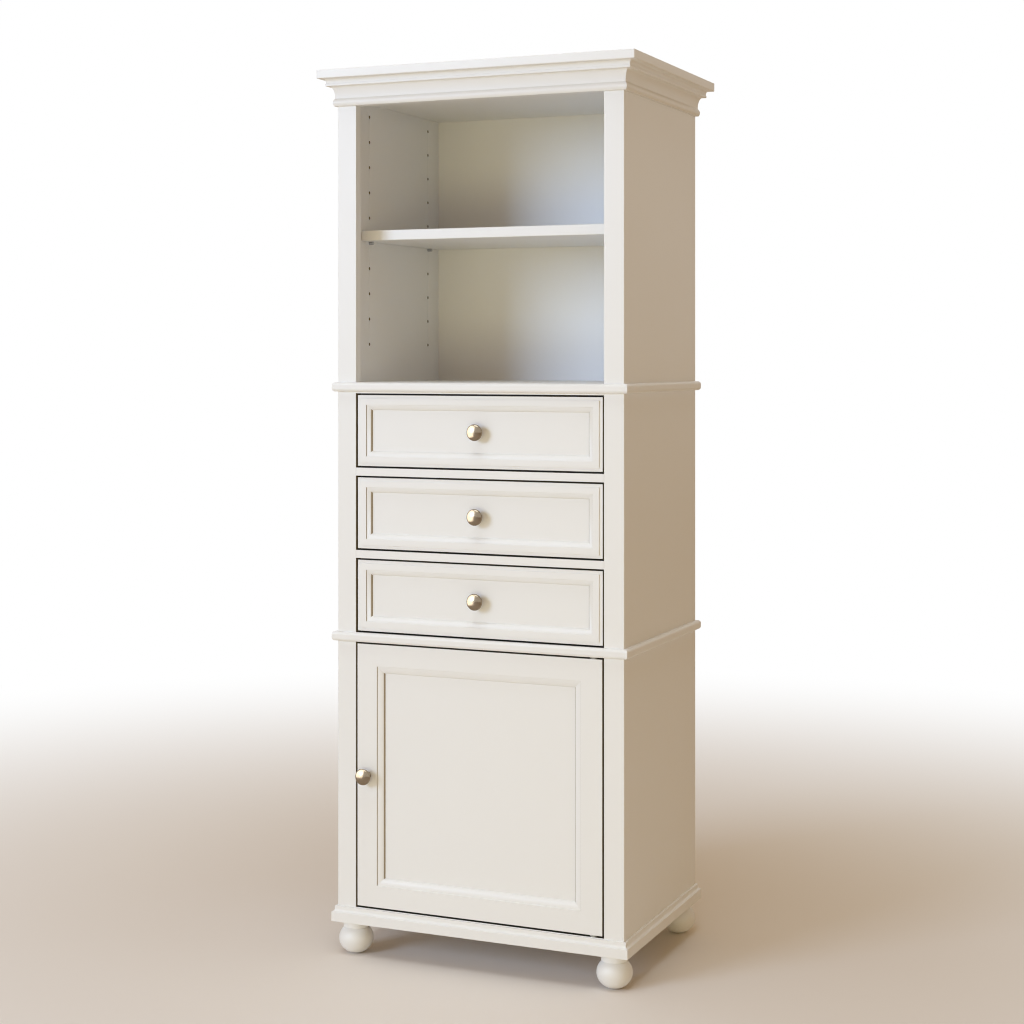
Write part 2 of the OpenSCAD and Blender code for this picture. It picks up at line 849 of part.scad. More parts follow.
module at_drawer_knob(n) {
  translate([0, face_ovolo_d, drawer_z(n) + drawer_open_h / 2]) children();
}

module drawer_1_front() { color(paint) placed() drawer_front(1); }
module drawer_1_sides() { color(bare_wood) placed() drawer_sides(1); }
module drawer_1_back() { color(bare_wood) placed() drawer_back(1); }
module drawer_1_bottom() { color(bare_wood) placed() drawer_bottom(1); }
module drawer_1_knob() { color(nickel) placed() at_drawer_knob(1) knob_shape(); }
module drawer_1_knob_screw() {
  color(steel) placed() at_drawer_knob(1) knob_screw_shape(0, face_t - face_ovolo_d);
}

module drawer_2_front() { color(paint) placed() drawer_front(2); }
module drawer_2_sides() { color(bare_wood) placed() drawer_sides(2); }
module drawer_2_back() { color(bare_wood) placed() drawer_back(2); }
module drawer_2_bottom() { color(bare_wood) placed() drawer_bottom(2); }
module drawer_2_knob() { color(nickel) placed() at_drawer_knob(2) knob_shape(); }
module drawer_2_knob_screw() {
  color(steel) placed() at_drawer_knob(2) knob_screw_shape(0, face_t - face_ovolo_d);
}

module drawer_3_front() { color(paint) placed() drawer_front(3); }
module drawer_3_sides() { color(bare_wood) placed() drawer_sides(3); }
module drawer_3_back() { color(bare_wood) placed() drawer_back(3); }
module drawer_3_bottom() { color(bare_wood) placed() drawer_bottom(3); }
module drawer_3_knob() { color(nickel) placed() at_drawer_knob(3) knob_shape(); }
module drawer_3_knob_screw() {
  color(steel) placed() at_drawer_knob(3) knob_screw_shape(0, face_t - face_ovolo_d);
}

side_panel_left();
side_panel_right();
face_stile_left();
face_stile_right();
face_top_rail();
face_upper_rail();
drawer_rails();
face_lower_rail();
face_bottom_rail();
top_slab();
ceiling_board();
display_floor();
drawer_divider();
bottom_board();
back_panel();
display_shelf();
cupboard_shelf();
crown_front();
crown_returns();
upper_belt_front();
upper_belt_returns();
lower_belt_front();
lower_belt_returns();
base_front();
base_returns();
ball_feet();
foot_bolts();
corner_blocks();
shelf_pins();
drawer_runners();
hinge_bushes();
door_catch();
door_hinge_stile();
door_knob_stile();
door_top_rail();
door_bottom_rail();
door_panel();
door_knob();
door_knob_screw();
hinge_pins();
strike_plate();
drawer_1_front();
drawer_1_sides();
drawer_1_back();
drawer_1_bottom();
drawer_1_knob();
drawer_1_knob_screw();
drawer_2_front();
drawer_2_sides();
drawer_2_back();
drawer_2_bottom();
drawer_2_knob();
drawer_2_knob_screw();
drawer_3_front();
drawer_3_sides();
drawer_3_back();
drawer_3_bottom();
drawer_3_knob();
drawer_3_knob_screw();
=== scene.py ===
# %% [markdown]
# # A tall linen cabinet in white paint
#
# The real cabinet is a narrow tower of painted boards: a crown and a flat top, an open bay with
# one shelf, three drawers, a cupboard with one panelled door, and four ball feet. The measured
# model already holds every board at its real size. This notebook gives those boards their paint,
# wood and metal, and models again, with softened edges and full curves, each piece whose shape
# the eye reads.

# %% Load the measured cabinet
import math
import bmesh
import bpy
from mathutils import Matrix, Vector


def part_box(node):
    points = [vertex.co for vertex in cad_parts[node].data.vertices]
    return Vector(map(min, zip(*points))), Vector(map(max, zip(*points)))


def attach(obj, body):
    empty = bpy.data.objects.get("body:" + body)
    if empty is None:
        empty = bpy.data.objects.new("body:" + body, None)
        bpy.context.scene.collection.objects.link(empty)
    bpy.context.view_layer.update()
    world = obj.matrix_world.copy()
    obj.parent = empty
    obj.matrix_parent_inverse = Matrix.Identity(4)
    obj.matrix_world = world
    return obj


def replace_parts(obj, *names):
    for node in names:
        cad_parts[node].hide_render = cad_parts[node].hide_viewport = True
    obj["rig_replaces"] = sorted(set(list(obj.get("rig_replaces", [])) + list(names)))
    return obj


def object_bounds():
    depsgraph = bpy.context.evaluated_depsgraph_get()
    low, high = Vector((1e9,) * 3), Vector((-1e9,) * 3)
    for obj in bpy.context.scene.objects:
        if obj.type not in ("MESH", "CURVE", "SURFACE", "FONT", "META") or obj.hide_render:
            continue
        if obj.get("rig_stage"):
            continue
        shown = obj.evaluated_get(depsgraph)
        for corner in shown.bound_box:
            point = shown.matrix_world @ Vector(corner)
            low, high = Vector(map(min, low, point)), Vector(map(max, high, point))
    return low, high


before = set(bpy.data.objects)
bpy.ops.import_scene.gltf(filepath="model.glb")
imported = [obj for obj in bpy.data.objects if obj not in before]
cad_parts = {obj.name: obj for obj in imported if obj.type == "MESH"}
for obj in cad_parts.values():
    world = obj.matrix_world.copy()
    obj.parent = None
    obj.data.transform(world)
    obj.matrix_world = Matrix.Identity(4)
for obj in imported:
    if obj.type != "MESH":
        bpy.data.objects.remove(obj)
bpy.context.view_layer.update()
scene = bpy.context.scene
bpy.ops.object.select_all(action="DESELECT")

# %% [markdown]
# ## Where the camera stands
#
# The photograph was taken from the right of the cabinet, at a little over half its height. All
# upright edges stay upright, so the lens looks level and only the frame is shifted down.

# %% Set the camera
PICTURE = 1024              # pixels across the picture
FOCAL_PX = 1910             # focal length, in pixels
HORIZON_ROW = 357           # pixel row of the eye level
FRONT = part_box("face_stile_left")[0].y
CAMERA_RIGHT = 1.4848       # metres to the right of the cabinet's middle
CAMERA_AHEAD = 3.2678       # metres in front of the face frame
CAMERA_UP = 1.1568
CAMERA_TURN = 23.37         # degrees the camera is turned to the left

camera_data = bpy.data.cameras.new("camera")
camera_data.sensor_width = 36
camera_data.lens = camera_data.sensor_width * FOCAL_PX / PICTURE
camera_data.shift_y = (HORIZON_ROW - PICTURE / 2) / PICTURE
camera = bpy.data.objects.new("camera", camera_data)
camera.location = (CAMERA_RIGHT, FRONT - CAMERA_AHEAD, CAMERA_UP)
camera.rotation_euler = (math.radians(90), 0, math.radians(CAMERA_TURN))
scene.collection.objects.link(camera)
scene.camera = camera
print("lens", round(camera_data.lens, 1), "mm, shift", round(camera_data.shift_y, 3))

# %% [markdown]
# ## Tools for shader nodes
#
# The world, the floor and every finish are small graphs of shader nodes. These helpers add a node,
# fill in its sockets and draw its links, all in one line.

# %% Helpers that add and join shader nodes
def new_material(name):
    """A material, with its node tree and its shader."""
    material = bpy.data.materials.new(name)
    material.use_nodes = True
    return material, material.node_tree, material.node_tree.nodes["Principled BSDF"]


def add_node(tree, kind, inputs, **settings):
    """Adds a node. Each input gets a plain value, or a link where a socket is given."""
    node = tree.nodes.new(kind)
    for name, value in settings.items():
        setattr(node, name, value)
    for name, value in inputs.items():
        if isinstance(value, bpy.types.NodeSocket):
            tree.links.new(value, node.inputs[name])
        else:
            node.inputs[name].default_value = value
    return node


def math_node(tree, operation, first, second):
    """The sum, product or other result of two numbers."""
    return add_node(tree, "ShaderNodeMath", {0: first, 1: second}, operation=operation).outputs[0]


def object_place(tree):
    """Coordinates in metres that stay with the piece."""
    return tree.nodes.new("ShaderNodeTexCoord").outputs["Object"]


def cross_over(tree, mask, first, second, output):
    """Shows one shader, which gives way to a second as the mask goes from 0 to 1."""
    mixed = add_node(tree, "ShaderNodeMixShader",
                     {0: mask, 1: first.outputs[0], 2: second.outputs[0]})
    tree.links.new(mixed.outputs[0], output.inputs["Surface"])


# %% [markdown]
# ## Light
#
# One large, cool lamp stands far off in front and to the left, as a studio's soft box does: the
# front is bright, and the right side falls into shade. A lamp overhead softens it, and a weak one
# near the floor does what a pale floor does for the undersides. A warm world stands for the light
# that comes back from all around, and fills the shaded side. A tall white card on the left shows
# in the metal knobs alone. The camera and the metal see the world as plain white, which keeps the
# background clean, and a narrow pixel filter keeps the lines crisp.

# %% Set the lamps
AIM = (0, 0, 0.9)


def add_lamp(name, place, aim, size, power, colour):
    """A rectangular lamp that shines from its place towards its aim, and isn't seen itself."""
    data = bpy.data.lights.new(name, "AREA")
    data.shape = "RECTANGLE"
    data.size, data.size_y = size
    data.energy = power
    data.color = colour
    lamp = bpy.data.objects.new(name, data)
    lamp.location = place
    lamp.rotation_euler = (Vector(aim) - Vector(place)).to_track_quat("-Z", "Y").to_euler()
    lamp.visible_camera = False
    scene.collection.objects.link(lamp)
    return lamp


add_lamp("key_lamp", (-3.4, -6.1, 2.7), AIM, (2.6, 2.6), 238, (0.535, 0.712, 1.0))
add_lamp("top_lamp", (0, -1.0, 5.5), AIM, (3.0, 3.0), 105, (0.80, 0.90, 1.0))
floor_lamp = add_lamp("floor_lamp", (0.5, -3.4, 0.12), (0, 0, 1.3), (3.0, 1.6), 37,
                      (1.0, 0.92, 0.48))
floor_lamp.visible_glossy = False
card = add_lamp("white_card", (-1.02, -1.0, 1.22), (-0.17, -0.5, 1.02), (1.8, 2.35), 52,
                (1, 1, 1))
card.visible_diffuse = False
seen_in = bpy.data.collections.new("seen_in_metal")
card.light_linking.receiver_collection = seen_in
print(len(bpy.data.lights), "lamps")

# %% Set the world
WORLD_WARMTH = (1.0, 0.66, 0.30)
WORLD_LEVEL = 0.35
CRISP = 1.1                 # width of the pixel filter, in pixels

world = bpy.data.worlds.new("studio")
scene.world = world
world.use_nodes = True
tree = world.node_tree
tree.nodes.clear()
warm = add_node(tree, "ShaderNodeBackground",
                {"Color": (*WORLD_WARMTH, 1), "Strength": WORLD_LEVEL})
white = add_node(tree, "ShaderNodeBackground", {"Color": (1, 1, 1, 1)})
path = tree.nodes.new("ShaderNodeLightPath").outputs
seen = math_node(tree, "MAXIMUM", path["Is Camera Ray"], path["Is Glossy Ray"])
seen = math_node(tree, "MAXIMUM", seen, path["Is Transmission Ray"])
cross_over(tree, seen, warm, white, tree.nodes.new("ShaderNodeOutputWorld"))

scene.view_settings.view_transform = "Standard"
scene.cycles.filter_width = CRISP
print("world at", WORLD_LEVEL)

# %% [markdown]
# ## The floor
#
# The floor is pale and plain, and keeps the cabinet's soft shadow. The lamp near the floor stands
# for light that the floor gives back, so it doesn't light the floor itself. A few metres away the
# floor melts into the white background, so that no horizon cuts the picture.

# %% Lay the floor
FLOOR_SIZE = 60
FLOOR_FADE = (0.6, 3.4)     # metres from the middle where the fade starts and ends
FLOOR_SHADE = (0.87, 0.81, 0.735, 1)
FLOOR_ROUGHNESS = 0.85

bpy.ops.mesh.primitive_plane_add(size=FLOOR_SIZE, location=(0, 0, 0))
floor = bpy.context.object
floor.name = "floor"
floor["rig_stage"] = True

floor_paint, tree, plain = new_material("pale_floor")
plain.inputs["Base Color"].default_value = FLOOR_SHADE
plain.inputs["Roughness"].default_value = FLOOR_ROUGHNESS
reach = add_node(tree, "ShaderNodeVectorMath", {0: object_place(tree)}, operation="LENGTH")
fade = add_node(tree, "ShaderNodeMapRange",
                {"Value": reach.outputs["Value"], "From Min": FLOOR_FADE[0],
                 "From Max": FLOOR_FADE[1]}, interpolation_type="SMOOTHSTEP")
path = tree.nodes.new("ShaderNodeLightPath").outputs
seen = math_node(tree, "MULTIPLY", fade.outputs["Result"], path["Is Camera Ray"])
cross_over(tree, seen, plain, tree.nodes.new("ShaderNodeEmission"), tree.nodes["Material Output"])
floor.data.materials.append(floor_paint)
floor_alone = bpy.data.collections.new("floor_alone")
floor_alone.objects.link(floor)
floor_alone.collection_objects[0].light_linking.link_state = "EXCLUDE"
floor_lamp.light_linking.receiver_collection = floor_alone
print("floor", FLOOR_SIZE, "m square")

# %% [markdown]
# ## Shared effects for the finishes
#
# Two effects come back in several finishes, so each is a node group, built once. The first is the
# skin of a coat of paint: faint streaks that follow the brush along the board, over a fine
# orange-peel ripple, with a slow drift in shade and gloss. The second is the figure of plain-sawn
# wood: growth rings stretched along the board, with fine pores between them.

# %% Make a node group, and the patterns it holds
COLOUR = "NodeSocketColor"
NUMBER = "NodeSocketFloat"
VECTOR = "NodeSocketVector"


def new_group(name, takes, gives):
    """A shader node group: takes and gives hold each socket's name and type, in order."""
    group = bpy.data.node_groups.new(name, "ShaderNodeTree")
    for label, kind in takes:
        group.interface.new_socket(label, in_out="INPUT", socket_type=kind)
    for label, kind in gives:
        group.interface.new_socket(label, in_out="OUTPUT", socket_type=kind)
    taken = group.nodes.new("NodeGroupInput").outputs
    return group, taken, group.nodes.new("NodeGroupOutput").inputs


def noise(tree, vector, scale, detail, roughness=0.5):
    """A cloudy pattern that runs from 0 to 1."""
    return add_node(tree, "ShaderNodeTexNoise", {"Vector": vector, "Scale": scale,
                    "Detail": detail, "Roughness": roughness}).outputs["Fac"]


def spread(tree, value, low, high):
    """Stretches a pattern that runs from 0 to 1, to run from low to high."""
    return add_node(tree, "ShaderNodeMapRange", {"Value": value, "To Min": low,
                    "To Max": high}).outputs["Result"]


def blend_colours(tree, mask, first, second):
    """Goes from the first colour to the second as the mask goes from 0 to 1."""
    return add_node(tree, "ShaderNodeMix", {0: mask, 6: first, 7: second},
                    data_type="RGBA").outputs[2]


def stretched(tree, along):
    """Coordinates scaled apart on X, Y and Z, so that a pattern runs along a board."""
    return add_node(tree, "ShaderNodeVectorMath", {0: object_place(tree), 1: along},
                    operation="MULTIPLY").outputs[0]


# %% Build the skin of a coat of paint
PEEL, DRIFT = 480.0, 2.2    # ripples, and changes of shade, in a metre
RIPPLE = 0.35               # height of the ripple beside that of the streaks
UNEVEN = (-0.04, 0.16)      # what the pattern adds to the roughness

skin, taken, given = new_group(
    "brushed_coat",
    [("Along", VECTOR), ("Shade", COLOUR), ("Tone", COLOUR), ("Gloss", NUMBER)],
    [("Color", COLOUR), ("Roughness", NUMBER), ("Height", NUMBER)])
streaks = noise(skin, stretched(skin, taken["Along"]), 1.0, 3.0, 0.6)
peel = noise(skin, object_place(skin), PEEL, 2.0)
drift = noise(skin, object_place(skin), DRIFT, 3.0)
skin.links.new(blend_colours(skin, drift, taken["Shade"], taken["Tone"]), given["Color"])
uneven = spread(skin, math_node(skin, "MULTIPLY", streaks, drift), *UNEVEN)
skin.links.new(math_node(skin, "ADD", uneven, taken["Gloss"]), given["Roughness"])
ripple = math_node(skin, "MULTIPLY", peel, RIPPLE)
skin.links.new(math_node(skin, "ADD", streaks, ripple), given["Height"])
print("brushed_coat has", len(skin.nodes), "nodes")

# %% Build the figure of plain-sawn wood
WARP, RINGS, PORES = 0.3, 0.35, 9.0  # scales of the bends, rings and pores
RING_SHARE = 0.6            # the pores have the rest

figure, taken, given = new_group(
    "plain_sawn_figure",
    [("Along", VECTOR), ("Early", COLOUR), ("Late", COLOUR)],
    [("Color", COLOUR), ("Height", NUMBER)])
length = stretched(figure, taken["Along"])
warp = math_node(figure, "MULTIPLY", noise(figure, length, WARP, 2.0), 2.0)
bent = add_node(figure, "ShaderNodeVectorMath", {0: length, 1: warp}, operation="ADD").outputs[0]
rings = add_node(figure, "ShaderNodeTexWave", {"Vector": bent, "Scale": RINGS, "Distortion": 2.0,
                 "Detail": 2.0}, bands_direction="DIAGONAL").outputs["Fac"]
pores = noise(figure, length, PORES, 4.0, 0.7)
grain = math_node(figure, "ADD", math_node(figure, "MULTIPLY", rings, RING_SHARE),
                  math_node(figure, "MULTIPLY", pores, 1 - RING_SHARE))
figure.links.new(blend_colours(figure, grain, taken["Early"], taken["Late"]), given["Color"])
figure.links.new(grain, given["Height"])
print("plain_sawn_figure has", len(figure.nodes), "nodes")

# %% [markdown]
# ## The finishes
#
# The cabinet wears one colour: a warm white satin enamel. Its brush marks run along each board,
# so the same paint is mixed once for each direction a board can lie, and once for the turned
# feet, where it goes round. The edges that hide in the gaps between front pieces, and the
# shelf-pin holes, get painted shade: a dark brown colour that stands in for the shade in there,
# so those gaps read as crisp lines. The painted shade is darker on level edges, darkest on the
# frame's. A paler painted shade sits in the upright quirks of the drawers and the door, and at
# the foot of their ovolos. Drawer boxes and runners are sealed pale wood, and the small hardware
# is satin nickel, zinc-plated steel and off-white nylon.

# %% Mix the paint
ENAMEL = ((0.870, 0.862, 0.845, 1), (0.855, 0.845, 0.825, 1))
PAINT_ROUGHNESS = 0.40
PAINT_RELIEF = (0.22, 0.00010)  # strength of the bumps, and their height in metres
STREAKS_ACROSS = 330        # brush streaks in a metre, across the stroke
STREAKS_ALONG = 9           # and along it
STREAKS_ROUND = 40          # and round a turned foot


def add_relief(tree, height, strength, distance):
    """Lets a pattern tilt the shader's normals."""
    bumps = add_node(tree, "ShaderNodeBump",
                     {"Height": height, "Strength": strength, "Distance": distance})
    tree.links.new(bumps.outputs["Normal"], tree.nodes["Principled BSDF"].inputs["Normal"])


def coated(name, group, inputs, relief):
    """A material whose colour, gloss and relief come from a node group."""
    material, tree, shader = new_material(name)
    effect = add_node(tree, "ShaderNodeGroup", inputs, node_tree=group)
    tree.links.new(effect.outputs["Color"], shader.inputs["Base Color"])
    if "Roughness" in effect.outputs:
        tree.links.new(effect.outputs["Roughness"], shader.inputs["Roughness"])
    add_relief(tree, effect.outputs["Height"], *relief)
    return material


def brushed(name, along, shades, gloss, relief):
    """A coat laid on with a brush, whose colour drifts between two shades."""
    return coated(name, skin, {"Along": along, "Shade": shades[0], "Tone": shades[1],
                               "Gloss": gloss}, relief)


def lying_along(across, along):
    """A pattern's scales for boards that lie along X, Y and Z."""
    return {"x": (along, across, across), "y": (across, along, across),
            "z": (across, across, along)}


ways = lying_along(STREAKS_ACROSS, STREAKS_ALONG)
ways["turned"] = (STREAKS_ROUND, STREAKS_ROUND, STREAKS_ACROSS)
paint = {way: brushed(f"white_enamel_{way}", along, ENAMEL, PAINT_ROUGHNESS, PAINT_RELIEF)
         for way, along in ways.items()}
print("enamel mixed for", ", ".join(paint))

# %% Mix the painted shade for the edges that hide in the gaps, and for the quirks
# Painted shade: dark colours that stand in for the shade on gap edges, darker on level edges,
# darkest on the frame's, and a paler one in the quirks.
UPRIGHT_GAP_SHADE = ((0.25, 0.20, 0.12, 1), (0.20, 0.155, 0.09, 1))
LEVEL_GAP_SHADE = ((0.125, 0.100, 0.063, 1), (0.100, 0.078, 0.048, 1))
FRAME_GAP_SHADE = ((0.050, 0.040, 0.028, 1), (0.040, 0.032, 0.022, 1))
QUIRK_SHADE = ((0.36, 0.30, 0.22, 1), (0.31, 0.255, 0.18, 1))
SHADE_COAT_FINISH = (0.6, (0.3, 0.00015))  # dull, with a grain a little deeper than the enamel's

upright_shade_paint = brushed("upright_gap_painted_shade", ways["z"], UPRIGHT_GAP_SHADE, *SHADE_COAT_FINISH)
level_shade_paint = brushed("level_gap_painted_shade", ways["x"], LEVEL_GAP_SHADE, *SHADE_COAT_FINISH)
frame_shade_paint = brushed("frame_gap_painted_shade", ways["x"], FRAME_GAP_SHADE, *SHADE_COAT_FINISH)
quirk_shade_paint = brushed("quirk_painted_shade", ways["z"], QUIRK_SHADE, *SHADE_COAT_FINISH)
# The three gap colours and the quirk colour are all painted shade.
print("three washes and a glaze mixed")

# %% Seal the bare wood
PALE_WOOD = (0.63, 0.46, 0.29, 1)
DARK_RING = (0.50, 0.33, 0.18, 1)
WOOD_ROUGHNESS = 0.5
WOOD_RELIEF = (0.2, 0.0002)
GRAIN_ACROSS, GRAIN_ALONG = 60, 3

wood = {}
for way, along in lying_along(GRAIN_ACROSS, GRAIN_ALONG).items():
    wood[way] = coated(f"sealed_pale_wood_{way}", figure,
                       {"Along": along, "Early": PALE_WOOD, "Late": DARK_RING}, WOOD_RELIEF)
    shader = wood[way].node_tree.nodes["Principled BSDF"]
    shader.inputs["Roughness"].default_value = WOOD_ROUGHNESS
print("wood sealed along", ", ".join(wood))

# %% Plate the knobs and the small steel parts
RINGS_ON_A_METRE = 9000
METAL_RELIEF = (0.15, 0.00004)
CLOUDING = 0.06             # how far the roughness goes up and down
CLOUDS, GRIT, SPECKS = 160.0, 900.0, 700.0  # in a metre


def plated(name, colour, roughness, pattern):
    """Metal with a cloudy gloss. pattern(tree) makes its fine relief."""
    material, tree, shader = new_material(name)
    shader.inputs["Metallic"].default_value = 1.0
    shader.inputs["Base Color"].default_value = colour
    cloud = noise(tree, object_place(tree), CLOUDS, 3.0)
    tree.links.new(spread(tree, cloud, roughness - CLOUDING, roughness + CLOUDING),
                   shader.inputs["Roughness"])
    add_relief(tree, pattern(tree), *METAL_RELIEF)
    return material


def lathe_rings(tree):
    """Fine rings that follow the distance from the lathe's axis."""
    radius = add_node(tree, "ShaderNodeAttribute", {}, attribute_name="turned_radius")
    return math_node(tree, "SINE", math_node(tree, "MULTIPLY", radius.outputs["Fac"],
                                             RINGS_ON_A_METRE), 0)


def fine_grit(tree):
    """The dull, fine texture of zinc plate."""
    return noise(tree, object_place(tree), GRIT, 2.0)


satin_nickel = plated("satin_nickel", (0.30, 0.24, 0.17, 1), 0.22, lathe_rings)
zinc_steel = plated("zinc_plated_steel", (0.55, 0.56, 0.58, 1), 0.36, fine_grit)
print("metals:", satin_nickel.name, "and", zinc_steel.name)

# %% Mould the nylon
NYLON_RELIEF = (0.15, 0.00005)

nylon, tree, shader = new_material("moulded_nylon")
speck = noise(tree, object_place(tree), SPECKS, 3.0)
tree.links.new(blend_colours(tree, speck, (0.66, 0.65, 0.61, 1), (0.60, 0.59, 0.55, 1)),
               shader.inputs["Base Color"])
tree.links.new(spread(tree, speck, 0.40, 0.55), shader.inputs["Roughness"])
add_relief(tree, speck, *NYLON_RELIEF)
print("nylon has", len(tree.nodes), "nodes")

# %% [markdown]
# ## Tools of the bench
#
# Most pieces start as a block or as a drawn section, and a few are turned on a lathe. The helpers
# below do that work, and round the arrises: the sharp edges, which a painter takes off because
# paint doesn't hold on them.

# %% Go in and out of edit mode
MM = 0.001


def only(piece):
    """Selects one piece alone and makes it active."""
    bpy.ops.object.select_all(action="DESELECT")
    piece.select_set(True)
    bpy.context.view_layer.objects.active = piece


def edit(piece, kind="VERT", action="SELECT"):
    """Opens one piece in edit mode, with all or none of its points, edges or faces selected."""
    only(piece)
    bpy.ops.object.mode_set(mode="EDIT")
    bpy.ops.mesh.select_mode(type=kind)
    bpy.ops.mesh.select_all(action=action)
    return bmesh.from_edit_mesh(piece.data)


def extrude(run):
    """Extrudes what is selected by a vector."""
    bpy.ops.mesh.extrude_region_move(TRANSFORM_OT_translate={"value": run})


def leave():
    bpy.ops.object.mode_set(mode="OBJECT")


def leave_outwards():
    """Turns all faces outwards and leaves edit mode."""
    bpy.ops.mesh.select_all(action="SELECT")
    bpy.ops.mesh.normals_make_consistent(inside=False)
    leave()


# %% Add a block, and draw a section
def add_block(name, low, high):
    """A block between two corners, with its place in its mesh."""
    low, high = Vector(low), Vector(high)
    bpy.ops.object.select_all(action="DESELECT")
    bpy.ops.mesh.primitive_cube_add(size=1, location=(low + high) / 2)
    block = bpy.context.object
    block.name = block.data.name = name
    block.scale = high - low
    bpy.ops.object.transform_apply(location=True, rotation=True, scale=True)
    return block


def extrude_section(name, points, run):
    """Draws a flat section through points in space, and extrudes it by the vector run."""
    bpy.ops.object.select_all(action="DESELECT")
    bpy.ops.mesh.primitive_circle_add(vertices=len(points), fill_type="NGON", location=(0, 0, 0))
    piece = bpy.context.object
    piece.name = piece.data.name = name
    for vertex, point in zip(piece.data.vertices, points):
        vertex.co = point
    edit(piece)
    extrude(run)
    leave_outwards()
    return piece


# %% Pick one face
def select_outermost(piece, direction):
    """Enters edit mode with only the face that lies furthest in a direction selected."""
    mesh = edit(piece, "FACE", "DESELECT")
    max(mesh.faces, key=lambda face: face.calc_center_median().dot(direction)).select_set(True)
    bmesh.update_edit_mesh(piece.data)


FORWARDS, UPWARDS = Vector((0, -1, 0)), Vector((0, 0, 1))


# %% Cut with another shape
def cut(piece, cutter):
    """Takes the cutter's shape out of the piece."""
    only(piece)
    saw = piece.modifiers.new("saw", "BOOLEAN")
    saw.operation = "DIFFERENCE"
    saw.solver = "EXACT"
    saw.object = cutter
    bpy.ops.object.modifier_apply(modifier=saw.name)
    bpy.data.objects.remove(cutter)


def drill(piece, start, end, radius):
    """Drills a round hole from start to end."""
    start, end = Vector(start), Vector(end)
    bpy.ops.object.select_all(action="DESELECT")
    bpy.ops.mesh.primitive_cylinder_add(
        vertices=32, radius=radius, depth=(end - start).length, location=(start + end) / 2,
        rotation=(end - start).to_track_quat("Z", "Y").to_euler())
    cut(piece, bpy.context.object)


# %% Round the arrises
SHARP = math.radians(35)
TINY = 1e-6                 # metres


def runs_along(a, b, axis):
    """True if an edge from a to b runs along the axis."""
    return all(abs(a[i] - b[i]) < TINY for i in range(3) if i != axis)


def round_arrises(piece, radius, wanted=lambda a, b: True, segments=3):
    """Rounds each sharp edge for whose two ends wanted(a, b) is true."""
    edit(piece, "EDGE", "DESELECT")
    bpy.ops.mesh.edges_select_sharp(sharpness=SHARP)
    mesh = bmesh.from_edit_mesh(piece.data)
    chosen = [edge for edge in mesh.edges
              if edge.select and wanted(edge.verts[0].co, edge.verts[1].co)]
    for edge in mesh.edges:
        edge.select_set(False)
    for edge in chosen:
        edge.select_set(True)
    bmesh.update_edit_mesh(piece.data)
    bpy.ops.mesh.bevel(offset=radius, segments=segments, affect="EDGES")
    leave()
    return len(chosen)


# %% Turn a shape on the lathe
TURNED_STEPS = 96


def turned(name, outline, centre, axis):
    """Spins an outline of (radius, height) points about the axis through centre."""
    centre, axis = Vector(centre), Vector(axis)
    spots = [centre + Vector((radius, 0, 0)) + axis * height for radius, height in outline]
    bpy.ops.object.select_all(action="DESELECT")
    bpy.ops.mesh.primitive_plane_add(size=MM, location=spots[0])
    piece = bpy.context.object
    piece.name = piece.data.name = name
    bpy.ops.object.transform_apply(location=True, rotation=True, scale=True)
    edit(piece)
    bpy.ops.mesh.merge(type="CENTER")
    for spot, following in zip(spots, spots[1:]):
        bpy.ops.mesh.extrude_vertices_move(TRANSFORM_OT_translate={"value": following - spot})
    bpy.ops.mesh.select_all(action="SELECT")
    bpy.ops.mesh.spin(steps=TURNED_STEPS, angle=math.tau, center=centre, axis=axis)
    bpy.ops.mesh.select_all(action="SELECT")
    bpy.ops.mesh.remove_doubles(threshold=TINY)
    bpy.ops.mesh.dissolve_degenerate(threshold=TINY)
    leave_outwards()
    return piece


def copy_moved(piece, name, shift):
    """A copy with its own mesh, whose place is moved by shift."""
    copy = piece.copy()
    copy.data = piece.data.copy()
    copy.name = copy.data.name = name
    scene.collection.objects.link(copy)
    for vertex in copy.data.vertices:
        vertex.co += shift
    copy["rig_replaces"] = []
    return copy


def fit_copy(piece, name, shift, body, node):
    """Hangs a moved copy on a body, in place of a measured node."""
    copy = copy_moved(piece, name, shift)
    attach(copy, body)
    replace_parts(copy, node)
    return copy


# %% Finish a piece
SMOOTH = math.radians(40)   # rounded parts are shaded smooth where they turn by less


def finish(piece, body, material, slot, *nodes):
    """Smooths a piece, coats it and hangs it on its body, in place of the measured nodes."""
    only(piece)
    bpy.ops.object.shade_smooth_by_angle(angle=SMOOTH)
    weigh = piece.modifiers.new("flat_faces_first", "WEIGHTED_NORMAL")
    weigh.keep_sharp = True
    bpy.ops.object.modifier_apply(modifier=weigh.name)
    piece.data.materials.clear()
    piece.data.materials.append(material)
    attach(piece, body)
    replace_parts(piece, *nodes)


# %% Paint shade onto what lies deep
SLANTING = 0.5              # a face leans this way if its normal does by more than this
STEEP = 0.7                 # a face of an ovolo is steep if its normal leans by more than this
EDGE_ZONE = 10 * MM         # the work along a board's outer edge ends within this


def paint_gap_shade(piece, in_shade, level=level_shade_paint):
    """Paints shade on each face for whose centre and normal the given test is true: a dark colour
    that stands in for shade, darker on level faces.
    """
    piece.data.materials.append(upright_shade_paint)
    piece.data.materials.append(level)
    for face in piece.data.polygons:
        if in_shade(face.center, face.normal):
            face.material_index = 2 if abs(face.normal.z) > SLANTING else 1


